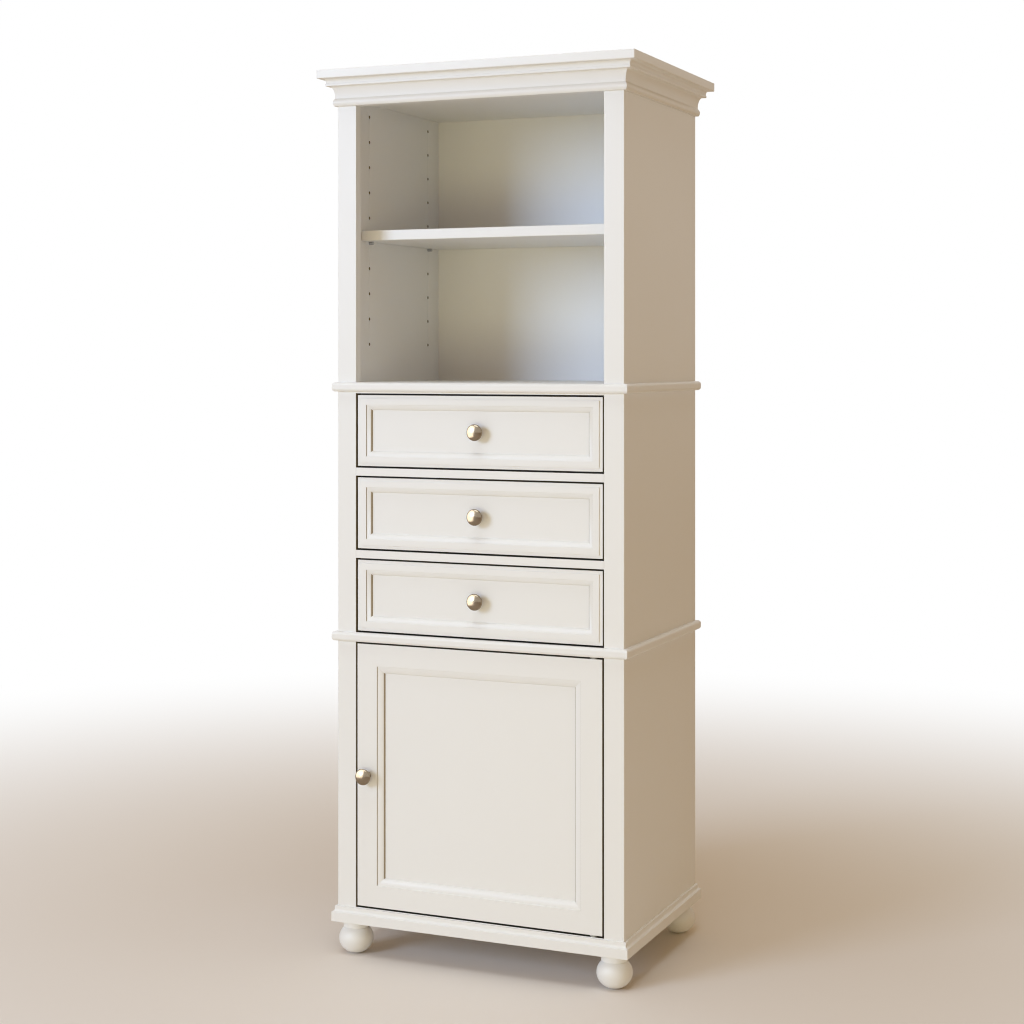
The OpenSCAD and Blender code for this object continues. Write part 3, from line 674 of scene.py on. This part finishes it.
def paint_front_shade(piece, low, high, depth):
    """Paints shade on the outline of a drawer or door front, which lies between two corners, and a
    paler painted shade on the quirks and the steep feet of its upright ovolos, which end at the
    given depth."""
    middle, reach = (low + high) / 2, (high - low) / 2
    paint_gap_shade(piece, lambda centre, normal: any(
        (centre[axis] - middle[axis]) * normal[axis] > 0 and abs(normal[axis]) > SLANTING
        and abs(centre[axis] - middle[axis]) > reach[axis] - MM for axis in (0, 2)))
    # A paler painted shade for the upright quirks and the steep feet of the ovolos.
    piece.data.materials.append(quirk_shade_paint)
    for face in piece.data.polygons:
        inward = min(face.center.x - low.x, high.x - face.center.x)
        deep = face.center.y - FRONT
        if abs(face.normal.x) > STEEP and inward > EDGE_ZONE and 0 < deep < depth:
            face.material_index = 3


PAINT = "painted_wood"
NICKEL = "satin_nickel"
STEEL = "steel"
print("bench ready")

# %% [markdown]
# ## The flat top and the boards of the face frame
#
# The top is one board with softened edges all round. The stiles and rails of the face frame lie
# flush, so only their long front edges are eased, which leaves the real frame's hairline where a
# rail meets a stile. A stile is a block as high as the lower openings with its top face drawn up,
# because its inner edge has painted shade beside the drawers and the door, and plain paint by the
# bay.

# %% Make the top and the stiles
TOP_RADIUS = 1.6 * MM
CORNER_RADIUS = 1.2 * MM
FRAME_RADIUS = 0.6 * MM

top = add_block("flat_top", *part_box("top_slab"))
round_arrises(top, TOP_RADIUS)
finish(top, "carcass", paint["x"], PAINT, "top_slab")


def at_front(a, b):
    """True if both ends of an edge lie on the front of the face frame."""
    return a.y < FRONT + TINY and b.y < FRONT + TINY


OPENINGS_LOW, OPENINGS_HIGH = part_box("face_bottom_rail")[1].z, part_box("face_upper_rail")[0].z
for side in ("left", "right"):
    low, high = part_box(f"face_stile_{side}")
    stile = add_block(f"face_stile_{side}_eased", low, (high.x, high.y, OPENINGS_HIGH))
    select_outermost(stile, UPWARDS)
    extrude((0, 0, high.z - OPENINGS_HIGH))
    leave()
    corner = max(abs(low.x), abs(high.x))
    round_arrises(stile, CORNER_RADIUS, lambda a, b: runs_along(a, b, 2) and at_front(a, b)
                  and abs(a.x) > corner - TINY)
    round_arrises(stile, FRAME_RADIUS, lambda a, b: runs_along(a, b, 2) and at_front(a, b)
                  and abs(a.x) < corner - EDGE_ZONE)
    finish(stile, "carcass", paint["z"], PAINT, f"face_stile_{side}")
    # Painted shade on the stile's inner edge beside the drawers and the door.
    paint_gap_shade(stile, lambda centre, normal: abs(normal.x) > SLANTING and normal.x * centre.x < 0
               and centre.z < OPENINGS_HIGH)
print("the frame's corners stand", round(corner / MM, 1), "mm from the middle")

# %% Make the rails
HINGE = (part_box("hinge_pins")[0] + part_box("hinge_pins")[1]) / 2
BUSH_RADIUS = 5.55 * MM
BUSH_DEPTH = 13 * MM


def frame_rail(name, low, high, node, bore=None):
    """A rail of the face frame, with a bore for a hinge bush where one goes in."""
    rail = add_block(name, low, high)
    round_arrises(rail, FRAME_RADIUS, lambda a, b: runs_along(a, b, 0) and at_front(a, b))
    if bore:
        drill(rail, (HINGE.x, HINGE.y, bore[0]), (HINGE.x, HINGE.y, bore[1]), BUSH_RADIUS)
    finish(rail, "carcass", paint["x"], PAINT, node)
    # Painted shade, the darkest, on the rail's level faces inside the openings.
    paint_gap_shade(rail, lambda centre, normal: abs(normal.z) > SLANTING
               and OPENINGS_LOW - MM < centre.z < OPENINGS_HIGH + MM, frame_shade_paint)


DOOR_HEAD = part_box("face_lower_rail")[0].z
for node, bore in (("face_top_rail", None), ("face_upper_rail", None),
                   ("face_lower_rail", (DOOR_HEAD - MM, DOOR_HEAD + BUSH_DEPTH)),
                   ("face_bottom_rail", (OPENINGS_LOW + MM, OPENINGS_LOW - BUSH_DEPTH))):
    frame_rail(f"{node}_eased", *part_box(node), node, bore)

FRONT_GAP = 3 * MM
rails_low, rails_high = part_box("drawer_rails")
RAIL_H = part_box("drawer_2_front")[0].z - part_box("drawer_3_front")[1].z - 2 * FRONT_GAP
for name, low_z, high_z in (("lower", rails_low.z, rails_low.z + RAIL_H),
                            ("upper", rails_high.z - RAIL_H, rails_high.z)):
    frame_rail(f"drawer_rail_{name}", (*rails_low.xy, low_z), (*rails_high.xy, high_z),
               "drawer_rails")
print("rails between the drawers are", round(RAIL_H / MM, 1), "mm high")

# %% [markdown]
# ## The two shelves
#
# The shelf in the open bay and the one in the cupboard are the same board at two heights. A shelf
# board gets a fuller rounding on its front edge than the frame does, because hands and towels
# slide over it.

# %% Make the shelves
SHELF_RADIUS = 1.5 * MM

low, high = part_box("display_shelf")
display_shelf = add_block("display_shelf_eased", low, high)
round_arrises(display_shelf, SHELF_RADIUS, lambda a, b: runs_along(a, b, 0) and a.y < low.y + MM)
finish(display_shelf, "carcass", paint["x"], PAINT, "display_shelf")
fit_copy(display_shelf, "cupboard_shelf_eased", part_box("cupboard_shelf")[0] - low,
         "carcass", "cupboard_shelf")
print("shelves", round((high.z - low.z) / MM, 1), "mm thick")

# %% [markdown]
# ## The mouldings
#
# Crown, belts and base are lengths of moulding: one outline, drawn once, run round all four sides
# of the cabinet, and cut at 45 degrees where two lengths meet. The outline is drawn at one end and
# extruded, and each end point slides by its own distance from the body, as a mitre saw cuts it.

# %% Draw the curves that outlines are made of
FINE, COARSE = 16, 4        # steps in a large curve and in a small one


def arc(x, z, radius, start, end, steps=FINE):
    """Points of a circular arc about (x, z), from one angle to another, in degrees."""
    angles = [math.radians(start + (end - start) * i / steps) for i in range(steps + 1)]
    return [(x + radius * math.cos(angle), z + radius * math.sin(angle)) for angle in angles]


def quarter(steps=FINE):
    """Angles from nothing to a quarter turn."""
    return [math.pi / 2 * i / steps for i in range(steps + 1)]


def ovolo(width, depth):
    """A quarter round that leaves (0, 0) level and ends upright at (width, depth)."""
    return [(width * math.sin(angle), depth * (1 - math.cos(angle))) for angle in quarter()]


def cove(start, end):
    """A quarter hollow that leaves start upright and reaches end level."""
    return [(start[0] + (end[0] - start[0]) * (1 - math.cos(angle)),
             start[1] + (end[1] - start[1]) * math.sin(angle)) for angle in quarter()]


# %% Draw the outlines, in millimetres
def size_of(node):
    """How far a front length of moulding stands out, and how high it is, in millimetres."""
    low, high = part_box(node)
    return (high.y - low.y) / MM, (high.z - low.z) / MM


CROWN_OUT, CROWN_H = size_of("crown_front")
BEAD_H, BEAD_ROOT, BEAD_OUT = 14, 5, 7.5
COVE_H, COVE_OUT = 24, 12
FILLET_H, FILLET_OUT = 5, 18
QUIRK = 1
bulge = BEAD_OUT - BEAD_ROOT
bead_r = ((BEAD_H / 2) ** 2 + bulge ** 2) / (2 * bulge)
half_angle = math.degrees(math.asin(BEAD_H / 2 / bead_r))
fillet_z = BEAD_H + COVE_H
fillet_in, lip_z = FILLET_OUT - QUIRK, fillet_z + FILLET_H
crown_outline = [
    (0, 0),
    *arc(BEAD_OUT - bead_r, BEAD_H / 2, bead_r, -half_angle, half_angle),
    *cove((BEAD_ROOT - QUIRK, BEAD_H + QUIRK), (COVE_OUT, fillet_z)),
    *arc(fillet_in, fillet_z + QUIRK, QUIRK, -90, 0, COARSE),
    *arc(fillet_in, lip_z - QUIRK, QUIRK, 0, 90, COARSE),
    *cove((fillet_in, lip_z), (CROWN_OUT, CROWN_H))[1:],
    (0, CROWN_H),
]

BELT_OUT, BELT_H = size_of("upper_belt_front")
BELT_R = 5.5
belt_outline = [(0, 0), *arc(BELT_OUT - BELT_R, BELT_R, BELT_R, -90, 0),
                *arc(BELT_OUT - BELT_R, BELT_H - BELT_R, BELT_R, 0, 90), (0, BELT_H)]

BASE_OUT, BASE_H = size_of("base_front")
FASCIA_H, NOSE_R = 19, 1.2
BASE_COVE_H, BASE_TOP_OUT, LEDGE = 4.5, 4.5, 1
base_hollow = [(BASE_OUT - LEDGE - out, FASCIA_H + up)
               for out, up in ovolo(BASE_OUT - LEDGE - BASE_TOP_OUT, BASE_COVE_H)]
base_outline = [(0, 0), (BASE_OUT, 0),
                *arc(BASE_OUT - NOSE_R, FASCIA_H - NOSE_R, NOSE_R, 0, 80, COARSE),
                *base_hollow, (BASE_TOP_OUT, BASE_H), (0, BASE_H)]
print("outlines of", len(crown_outline), len(belt_outline), "and", len(base_outline), "points")

# %% Run each moulding round the cabinet
HALF = -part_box("face_stile_left")[0].x
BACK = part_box("side_panel_left")[1].y
MOULDING_RADIUS = 0.4 * MM


def mitred_length(name, points, start, run, outward):
    """Extrudes an outline from start by run, and slides its ends to the mitres."""
    start, run, outward = Vector(start), Vector(run), Vector(outward)
    along = run.normalized()
    section = [start + outward * out + Vector((0, 0, up)) for out, up in points]
    piece = extrude_section(name, section, run)
    for vertex in piece.data.vertices:
        place = vertex.co - start
        slide = place.dot(outward)
        vertex.co += along * (slide if place.dot(along) > run.length / 2 else -slide)
    round_arrises(piece, MOULDING_RADIUS, lambda a, b: (b - a).length > run.length / 2
                  and (a - start).dot(outward) > MM, 2)
    return piece


def run_moulding(name, outline):
    """A length of moulding on each of the four sides."""
    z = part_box(f"{name}_front")[0].z
    points = [(out * MM, z + up * MM) for out, up in outline]
    deep = BACK - FRONT
    for word, start, run, outward in (
            ("front", (-HALF, FRONT, 0), (2 * HALF, 0, 0), (0, -1, 0)),
            ("right", (HALF, FRONT, 0), (0, deep, 0), (1, 0, 0)),
            ("back", (HALF, BACK, 0), (-2 * HALF, 0, 0), (0, 1, 0)),
            ("left", (-HALF, BACK, 0), (0, -deep, 0), (-1, 0, 0))):
        piece = mitred_length(f"{name}_{word}_length", points, start, run, outward)
        finish(piece, "carcass", paint["x" if run[0] else "y"], PAINT,
               f"{name}_front" if word == "front" else f"{name}_returns")


run_moulding("crown", crown_outline)
run_moulding("upper_belt", belt_outline)
run_moulding("lower_belt", belt_outline)
run_moulding("base", base_outline)
print("the crown stands out", round(CROWN_OUT, 1), "mm")

# %% [markdown]
# ## The ball feet
#
# A ball foot is turned in one piece: a flat under the ball, the ball, which is a little flattened,
# a groove, and a short collar that meets the cabinet. Its outline is drawn from the bore for the
# bolt, over the collar and down the ball to the floor, and spun. The other three feet are copies.

# %% Turn one foot, and copy it
BALL_D, BALL_H, BALL_FLAT_D, COLLAR_D = 67 * MM, 59 * MM, 15 * MM, 50 * MM
BOLT_BORE = 3.05 * MM
GROOVE_DEEP = 2.4 * MM
EASE = 1.6 * MM
BALL_STEPS, GROOVE_STEPS = 40, 6

feet_low, feet_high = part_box("ball_feet")
bolts_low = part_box("foot_bolts")[0]
ball_r, foot_h = BALL_D / 2, feet_high.z
flat_turn = math.acos(BALL_FLAT_D / BALL_D)
groove_turn = math.acos((COLLAR_D - 2 * GROOVE_DEEP) / BALL_D)
ball_z = BALL_H / 2 * math.sin(flat_turn)
groove_z = ball_z + BALL_H / 2 * math.sin(groove_turn)
round_ball = arc(0, 0, ball_r, math.degrees(groove_turn), -math.degrees(flat_turn), BALL_STEPS)
foot_outline = [
    (0, bolts_low.z), (BOLT_BORE, bolts_low.z), (BOLT_BORE, foot_h),
    *arc(COLLAR_D / 2 - EASE / 2, foot_h - EASE / 2, EASE / 2, 90, 0, COARSE),
    *arc(COLLAR_D / 2 - EASE, groove_z + EASE, EASE, 0, -80, GROOVE_STEPS),
    *[(out, ball_z + up * BALL_H / BALL_D) for out, up in round_ball],
    (0, 0),
]
first = Vector((feet_low.x + ball_r, feet_low.y + ball_r, 0))
spread_x, spread_y = -2 * first.x, feet_high.y - ball_r - first.y
foot = turned("ball_foot_front_left", foot_outline, first, (0, 0, 1))
finish(foot, "carcass", paint["turned"], PAINT, "ball_feet")
for name, shift in (("front_right", (spread_x, 0, 0)), ("back_left", (0, spread_y, 0)),
                    ("back_right", (spread_x, spread_y, 0))):
    fit_copy(foot, f"ball_foot_{name}", Vector(shift), "carcass", "ball_feet")
print("foot:", len(foot.data.polygons), "faces, collar from", round(groove_z / MM, 1), "mm up")

# %% [markdown]
# ## The drawer fronts
#
# Each drawer front is one board, worked from its face: a low step round the edge, a flat border,
# a quirk, and an ovolo that ends in a drop to a sunk field. Insets do this as a router does, pass
# after pass, each a little further in and deeper. One front is worked, and copied for the others.

# %% Work a drawer front
EDGE_STEP_W, EDGE_STEP_D = 6.5 * MM, 2 * MM
FACE_FLAT_W = 12.5 * MM
FACE_OVOLO_W, FACE_OVOLO_D = 10 * MM, 8.5 * MM
QUIRK_DEEP, OVOLO_DROP = 2 * MM, 0.5 * MM
SCREW_BORE = 2.05 * MM


def push_face(depth):
    """Extrudes the selected face straight back by depth, or forwards where it is negative."""
    extrude((0, depth, 0))


front_low, front_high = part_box("drawer_1_front")
drawer_front = add_block("drawer_1_panelled_front",
                         (front_low.x, front_low.y + EDGE_STEP_D, front_low.z), front_high)
select_outermost(drawer_front, FORWARDS)
bpy.ops.mesh.inset(thickness=EDGE_STEP_W)
push_face(-EDGE_STEP_D)
bpy.ops.mesh.inset(thickness=FACE_FLAT_W)
push_face(QUIRK_DEEP)
curve = ovolo(FACE_OVOLO_W, FACE_OVOLO_D - OVOLO_DROP - QUIRK_DEEP)
for (width, depth), (next_width, next_depth) in zip(curve, curve[1:]):
    bpy.ops.mesh.inset(thickness=next_width - width, depth=depth - next_depth)
push_face(OVOLO_DROP)
leave()
ARRIS = 0.4 * MM


def is_arris(a, b):
    """True for the edges that stand out on the worked face, and not for its inner corners."""
    at_rim = min(abs(a.x), abs(b.x)) > front_high.x - TINY
    depths = (0, FACE_OVOLO_D - OVOLO_DROP, EDGE_STEP_D if at_rim else 0)
    return abs(a.y - b.y) < TINY and any(abs(a.y - FRONT - depth) < TINY for depth in depths)


eased = round_arrises(drawer_front, ARRIS, is_arris, 2)
print("drawer front:", eased, "edges eased,", len(drawer_front.data.polygons), "faces")

# %% Groove and bore it, and copy it for the other drawers
bottom_low, bottom_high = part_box("drawer_1_bottom")
PLAY = 0.2 * MM
cut(drawer_front, add_block("groove_cutter",
                            (bottom_low.x - PLAY, bottom_low.y - PLAY, bottom_low.z),
                            (bottom_high.x + PLAY, front_high.y + MM, bottom_high.z + PLAY)))
middle_z = (front_low.z + front_high.z) / 2
drill(drawer_front, (0, FRONT, middle_z), (0, front_high.y + MM, middle_z), SCREW_BORE)
finish(drawer_front, "drawer_1", paint["x"], PAINT, "drawer_1_front")
# Painted shade on the front's edges, and a paler painted shade in its quirks.
paint_front_shade(drawer_front, front_low, front_high, FACE_OVOLO_D)
for body in ("drawer_2", "drawer_3"):
    fit_copy(drawer_front, f"{body}_panelled_front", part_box(f"{body}_front")[0] - front_low,
             body, f"{body}_front")
print("three drawer fronts made")

# %% [markdown]
# ## The door
#
# A framed door has two stiles that run its full height and two rails between them, all with the
# same section: a flat, a quirk, an ovolo, a drop, and behind it a groove that holds a thin flat
# panel. The flats butt against each other while the ovolos are mitred. So each member is its
# section, extruded, with the ovolo's end points slid to the mitre. A stile also gets a horn at
# each end, which is its flat part run on to the corner of the door.

# %% Draw the section of the door frame
DOOR_FLAT = 42.5 * MM
DOOR_OVOLO_W = 13.5 * MM
PANEL_GROOVE = 8 * MM
door_low, door_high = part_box("door_knob_stile")[0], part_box("door_hinge_stile")[1]
panel_low, panel_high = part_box("door_panel")
DOOR_T = door_high.y - door_low.y
PANEL_DEPTH = panel_low.y - FRONT
DOOR_INNER = DOOR_FLAT + DOOR_OVOLO_W
groove_back = panel_high.y - FRONT + PLAY
door_section = [
    (0, 0), (DOOR_FLAT, 0),
    *[(DOOR_FLAT + across, QUIRK_DEEP + deep)
      for across, deep in ovolo(DOOR_OVOLO_W, PANEL_DEPTH - OVOLO_DROP - QUIRK_DEEP)],
    (DOOR_INNER, PANEL_DEPTH), (DOOR_INNER - PANEL_GROOVE, PANEL_DEPTH),
    (DOOR_INNER - PANEL_GROOVE, groove_back), (DOOR_INNER, groove_back),
    (DOOR_INNER, DOOR_T), (DOOR_FLAT, DOOR_T), (0, DOOR_T),
]
print("door section of", len(door_section), "points,", round(DOOR_T / MM, 1), "mm thick")


# %% Extrude a member and cut its mitres
def near(value, target):
    """True if two lengths are the same to a hundredth of a millimetre."""
    return abs(value - target) < 0.01 * MM


def on_axis(axis, length):
    """A vector of a length along an axis."""
    return Vector([length if i == axis else 0 for i in range(3)])


def shape_end(member, across, outer, end, horn):
    """Splits a member's end between its flat part, which is square, and its mitred ovolo, and
    extrudes the flat part by the horn's length."""
    along = 2 - across
    mesh = edit(member, "VERT", "DESELECT")
    for vertex in mesh.verts:
        depth = vertex.co.y - FRONT
        vertex.select_set(near(abs(vertex.co[across] - outer), DOOR_FLAT)
                          and near(vertex.co[along], end)
                          and (near(depth, QUIRK_DEEP) or near(depth, DOOR_T)))
    mesh.select_flush_mode()
    bmesh.update_edit_mesh(member.data)
    bpy.ops.mesh.vert_connect()
    leave()
    if horn:
        mesh = edit(member, "FACE", "DESELECT")
        for face in mesh.faces:
            face.select_set(all(near(vertex.co[along], end) for vertex in face.verts))
        bmesh.update_edit_mesh(member.data)
        extrude(on_axis(along, horn))
        leave()


def door_member(name, across, outer, inward):
    """A member whose width runs on the across axis, from its outer edge inward. One that stands
    upright is a stile, with horns."""
    along = 2 - across
    ends = (door_low[along] + DOOR_FLAT, door_high[along] - DOOR_FLAT)
    points = [on_axis(across, outer + inward * width) + on_axis(1, FRONT + depth)
              + on_axis(along, ends[0]) for width, depth in door_section]
    member = extrude_section(name, points, on_axis(along, ends[1] - ends[0]))
    for vertex in member.data.vertices:
        slide = max(0, abs(vertex.co[across] - outer) - DOOR_FLAT)
        vertex.co[along] += slide if near(vertex.co[along], ends[0]) else -slide
    for end, outward in zip(ends, (-1, 1)):
        shape_end(member, across, outer, end, outward * DOOR_FLAT if across == 0 else 0)
    edit(member)
    leave_outwards()
    return member


# %% Make the four members
DOOR_RADIUS = 0.6 * MM


def ease_member(member, across, outer):
    """Eases the door's outer edges, front and back, and the arris where the ovolo starts."""
    along = 2 - across

    def wanted(a, b):
        at_edge = near(a[across], outer) and near(b[across], outer)
        at_end = near(a[along], b[along]) and (near(a[along], door_low[along])
                                               or near(a[along], door_high[along]))
        at_ovolo = (near(abs(a[across] - outer), DOOR_FLAT) and near(a.y, FRONT)
                    and runs_along(a, b, along) and abs(a[along] - b[along]) > 2 * DOOR_FLAT)
        return near(a.y, b.y) and (at_edge or at_end or at_ovolo)

    return round_arrises(member, DOOR_RADIUS, wanted)


knob_low, knob_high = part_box("door_knob")
DOOR_KNOB = Vector(((knob_low.x + knob_high.x) / 2, knob_high.y, (knob_low.z + knob_high.z) / 2))
PIN_RADIUS = 4 * MM
PIN_SEAT = 22 * MM

for part, way, across, outer, inward in (("knob_stile", "z", 0, door_low.x, 1),
                                         ("hinge_stile", "z", 0, door_high.x, -1),
                                         ("top_rail", "x", 2, door_high.z, -1),
                                         ("bottom_rail", "x", 2, door_low.z, 1)):
    member = door_member(f"door_{part}_moulded", across, outer, inward)
    print(member.name, ease_member(member, across, outer), "edges eased")
    if part == "knob_stile":
        drill(member, (DOOR_KNOB.x, FRONT - MM, DOOR_KNOB.z),
              (DOOR_KNOB.x, FRONT + DOOR_T + MM, DOOR_KNOB.z), SCREW_BORE)
    if part == "hinge_stile":
        for end, into in ((door_low.z, 1), (door_high.z, -1)):
            drill(member, (HINGE.x, HINGE.y, end - into * MM),
                  (HINGE.x, HINGE.y, end + into * PIN_SEAT), PIN_RADIUS)
    finish(member, "door", paint[way], PAINT, f"door_{part}")
    # Painted shade on the member's edges, and a paler painted shade in its quirks.
    paint_front_shade(member, door_low, door_high, PANEL_DEPTH)
print("door framed,", round((door_high.z - door_low.z) / MM), "mm high")

# %% [markdown]
# ## The knobs and their screws
#
# A cabinet knob is turned from solid metal: a foot that sits on the wood, a neck, and a domed
# head. A screw comes through the wood from behind. Both are outlines, spun. Each vertex of a knob
# remembers its distance from the axis, so that the metal can show the rings of the lathe tool.

# %% Turn one knob
KNOB_R, NECK_R, KNOB_FOOT_R = 15.75 * MM, 5.5 * MM, 8 * MM
KNOB_FOOT_H, RIM_H, DOME_H = 2 * MM, 6 * MM, 7.5 * MM
KNOB_L = knob_high.y - knob_low.y
SCREW_IN = 10 * MM
FOOT_EASE = 0.5 * MM
FLARE, FLARE_H = 0.8 * MM, 1.6 * KNOB_FOOT_H    # the neck widens towards the foot
EASE_STEPS, DOME_STEPS = 3, 24

head_z = KNOB_L - DOME_H - RIM_H
underside = [(NECK_R + out, head_z + up) for out, up in ovolo(KNOB_R - NECK_R, RIM_H)]
dome = [(KNOB_R * math.cos(angle), KNOB_L - DOME_H + DOME_H * math.sin(angle))
        for angle in quarter(DOME_STEPS)[1:]]
foot_ease_r = KNOB_FOOT_R - FOOT_EASE
knob_outline = [
    (0, SCREW_IN), (SCREW_BORE, SCREW_IN), (SCREW_BORE, 0),
    (foot_ease_r, 0), *arc(foot_ease_r, FOOT_EASE, FOOT_EASE, -90, 0, EASE_STEPS)[1:],
    *arc(foot_ease_r, KNOB_FOOT_H - FOOT_EASE, FOOT_EASE, 0, 60, EASE_STEPS),
    (NECK_R + FLARE, FLARE_H), (NECK_R, 2 * KNOB_FOOT_H), *underside, *dome,
]
knob = turned("door_turned_knob", knob_outline, DOOR_KNOB, (0, -1, 0))
ring = knob.data.attributes.new("turned_radius", "FLOAT", "POINT")
for vertex in knob.data.vertices:
    ring.data[vertex.index].value = math.hypot(vertex.co.x - DOOR_KNOB.x, vertex.co.z - DOOR_KNOB.z)
finish(knob, "door", satin_nickel, NICKEL, "door_knob")
seen_in.objects.link(knob)
print("knob:", len(knob.data.polygons), "faces")

# %% Turn the screws, with a slot in each head
SCREW_R, HEAD_R, HEAD_H = 2 * MM, 4.5 * MM, 2.5 * MM
HEAD_ROUND, HEAD_STEPS = 0.6 * HEAD_H, 8
SLOT_W, SLOT_DEEP = 1.1 * MM, 1.1 * MM


def slotted_screw(body, x):
    """The screw of a knob at x, which lies along Y, with a driver slot across its head."""
    low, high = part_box(f"{body}_knob_screw")
    tip = Vector((x, low.y, (low.z + high.z) / 2))
    length = high.y - low.y
    screw = turned(f"{body}_knob_slotted_screw", [
        (0, 0), (SCREW_R * 0.7, 0), (SCREW_R, SCREW_R * 0.6), (SCREW_R, length - HEAD_H),
        (HEAD_R, length - HEAD_H), (HEAD_R, length - HEAD_ROUND),
        *[(HEAD_R * math.cos(angle), length - HEAD_ROUND * (1 - math.sin(angle)))
          for angle in quarter(HEAD_STEPS)[1:]]], tip, (0, 1, 0))
    cut(screw, add_block("slot_cutter",
                         (tip.x - 2 * HEAD_R, high.y - SLOT_DEEP, tip.z - SLOT_W / 2),
                         (tip.x + 2 * HEAD_R, high.y + MM, tip.z + SLOT_W / 2)))
    finish(screw, body, zinc_steel, STEEL, f"{body}_knob_screw")
    print(screw.name, round(length / MM, 1), "mm long")
    return screw


slotted_screw("door", DOOR_KNOB.x)
short_screw = slotted_screw("drawer_1", 0)

# %% Fit knobs and screws to the drawers
first_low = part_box("drawer_1_knob_screw")[0]
for body in ("drawer_1", "drawer_2", "drawer_3"):
    low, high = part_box(f"{body}_knob")
    seat = Vector(((low.x + high.x) / 2, high.y, (low.z + high.z) / 2))
    seen_in.objects.link(fit_copy(knob, f"{body}_turned_knob", seat - DOOR_KNOB,
                                  body, f"{body}_knob"))
    if body != "drawer_1":
        fit_copy(short_screw, f"{body}_knob_slotted_screw",
                 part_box(f"{body}_knob_screw")[0] - first_low, body, f"{body}_knob_screw")
print("four knobs and four screws fitted")

# %% [markdown]
# ## The side panels
#
# The two side panels keep their measured shape, holes and all, in a mesh of their own, so that the
# inside of the shelf-pin holes can get painted shade, a dark colour that stands in for their shade.

# %% Copy the side panels and paint shade into their holes
pins_low, pins_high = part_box("shelf_pins")
SHELF_PIN_R, PIN_HOLE_R = 3 * MM, 3.05 * MM
HOLE_ROWS = (pins_low.y + SHELF_PIN_R, pins_high.y - SHELF_PIN_R)
for side in ("left", "right"):
    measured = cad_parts[f"side_panel_{side}"]
    panel = copy_moved(measured, f"side_panel_{side}_drilled", Vector((0, 0, 0)))
    edit(panel)
    bpy.ops.mesh.remove_doubles(threshold=TINY)
    leave()
    finish(panel, "carcass", paint["z"], PAINT, f"side_panel_{side}")
    low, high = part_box(f"side_panel_{side}")
    # Painted shade inside the shelf-pin holes.
    paint_gap_shade(panel, lambda centre, normal: low.x + MM < centre.x < high.x - MM
               and any(abs(centre.y - row) < PIN_HOLE_R + TINY for row in HOLE_ROWS))
print("the holes of both side panels are washed")

# %% [markdown]
# ## The measured boards that stay
#
# The fixed boards, the back, the door panel, the drawer boxes and the small hardware are already
# the right shape. Each one keeps its measured form and gets its finish.

# %% Coat the measured pieces
def coat(material, *names):
    """Gives measured nodes their finish."""
    for name in names:
        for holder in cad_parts[name].material_slots:
            holder.material = material


coat(paint["z"], "back_panel", "door_panel")
coat(paint["x"], "ceiling_board", "display_floor", "drawer_divider", "bottom_board")
coat(wood["y"], "drawer_runners")
coat(wood["z"], "corner_blocks")
coat(zinc_steel, "foot_bolts", "shelf_pins", "hinge_pins", "strike_plate")
coat(nylon, "hinge_bushes", "door_catch")
for body in ("drawer_1", "drawer_2", "drawer_3"):
    coat(wood["y"], f"{body}_sides")
    coat(wood["x"], f"{body}_back", f"{body}_bottom")
shown = [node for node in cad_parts.values() if not node.hide_render]
print(len(shown), "measured nodes stay in sight")

# %% [markdown]
# ## The last measurement
#
# The dressed cabinet must be as big as the measured one. Its size is printed, in millimetres.

# %% Print the dressed size
low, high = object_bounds()
print("dressed size in mm:", [round((high[i] - low[i]) / MM, 1) for i in range(3)])
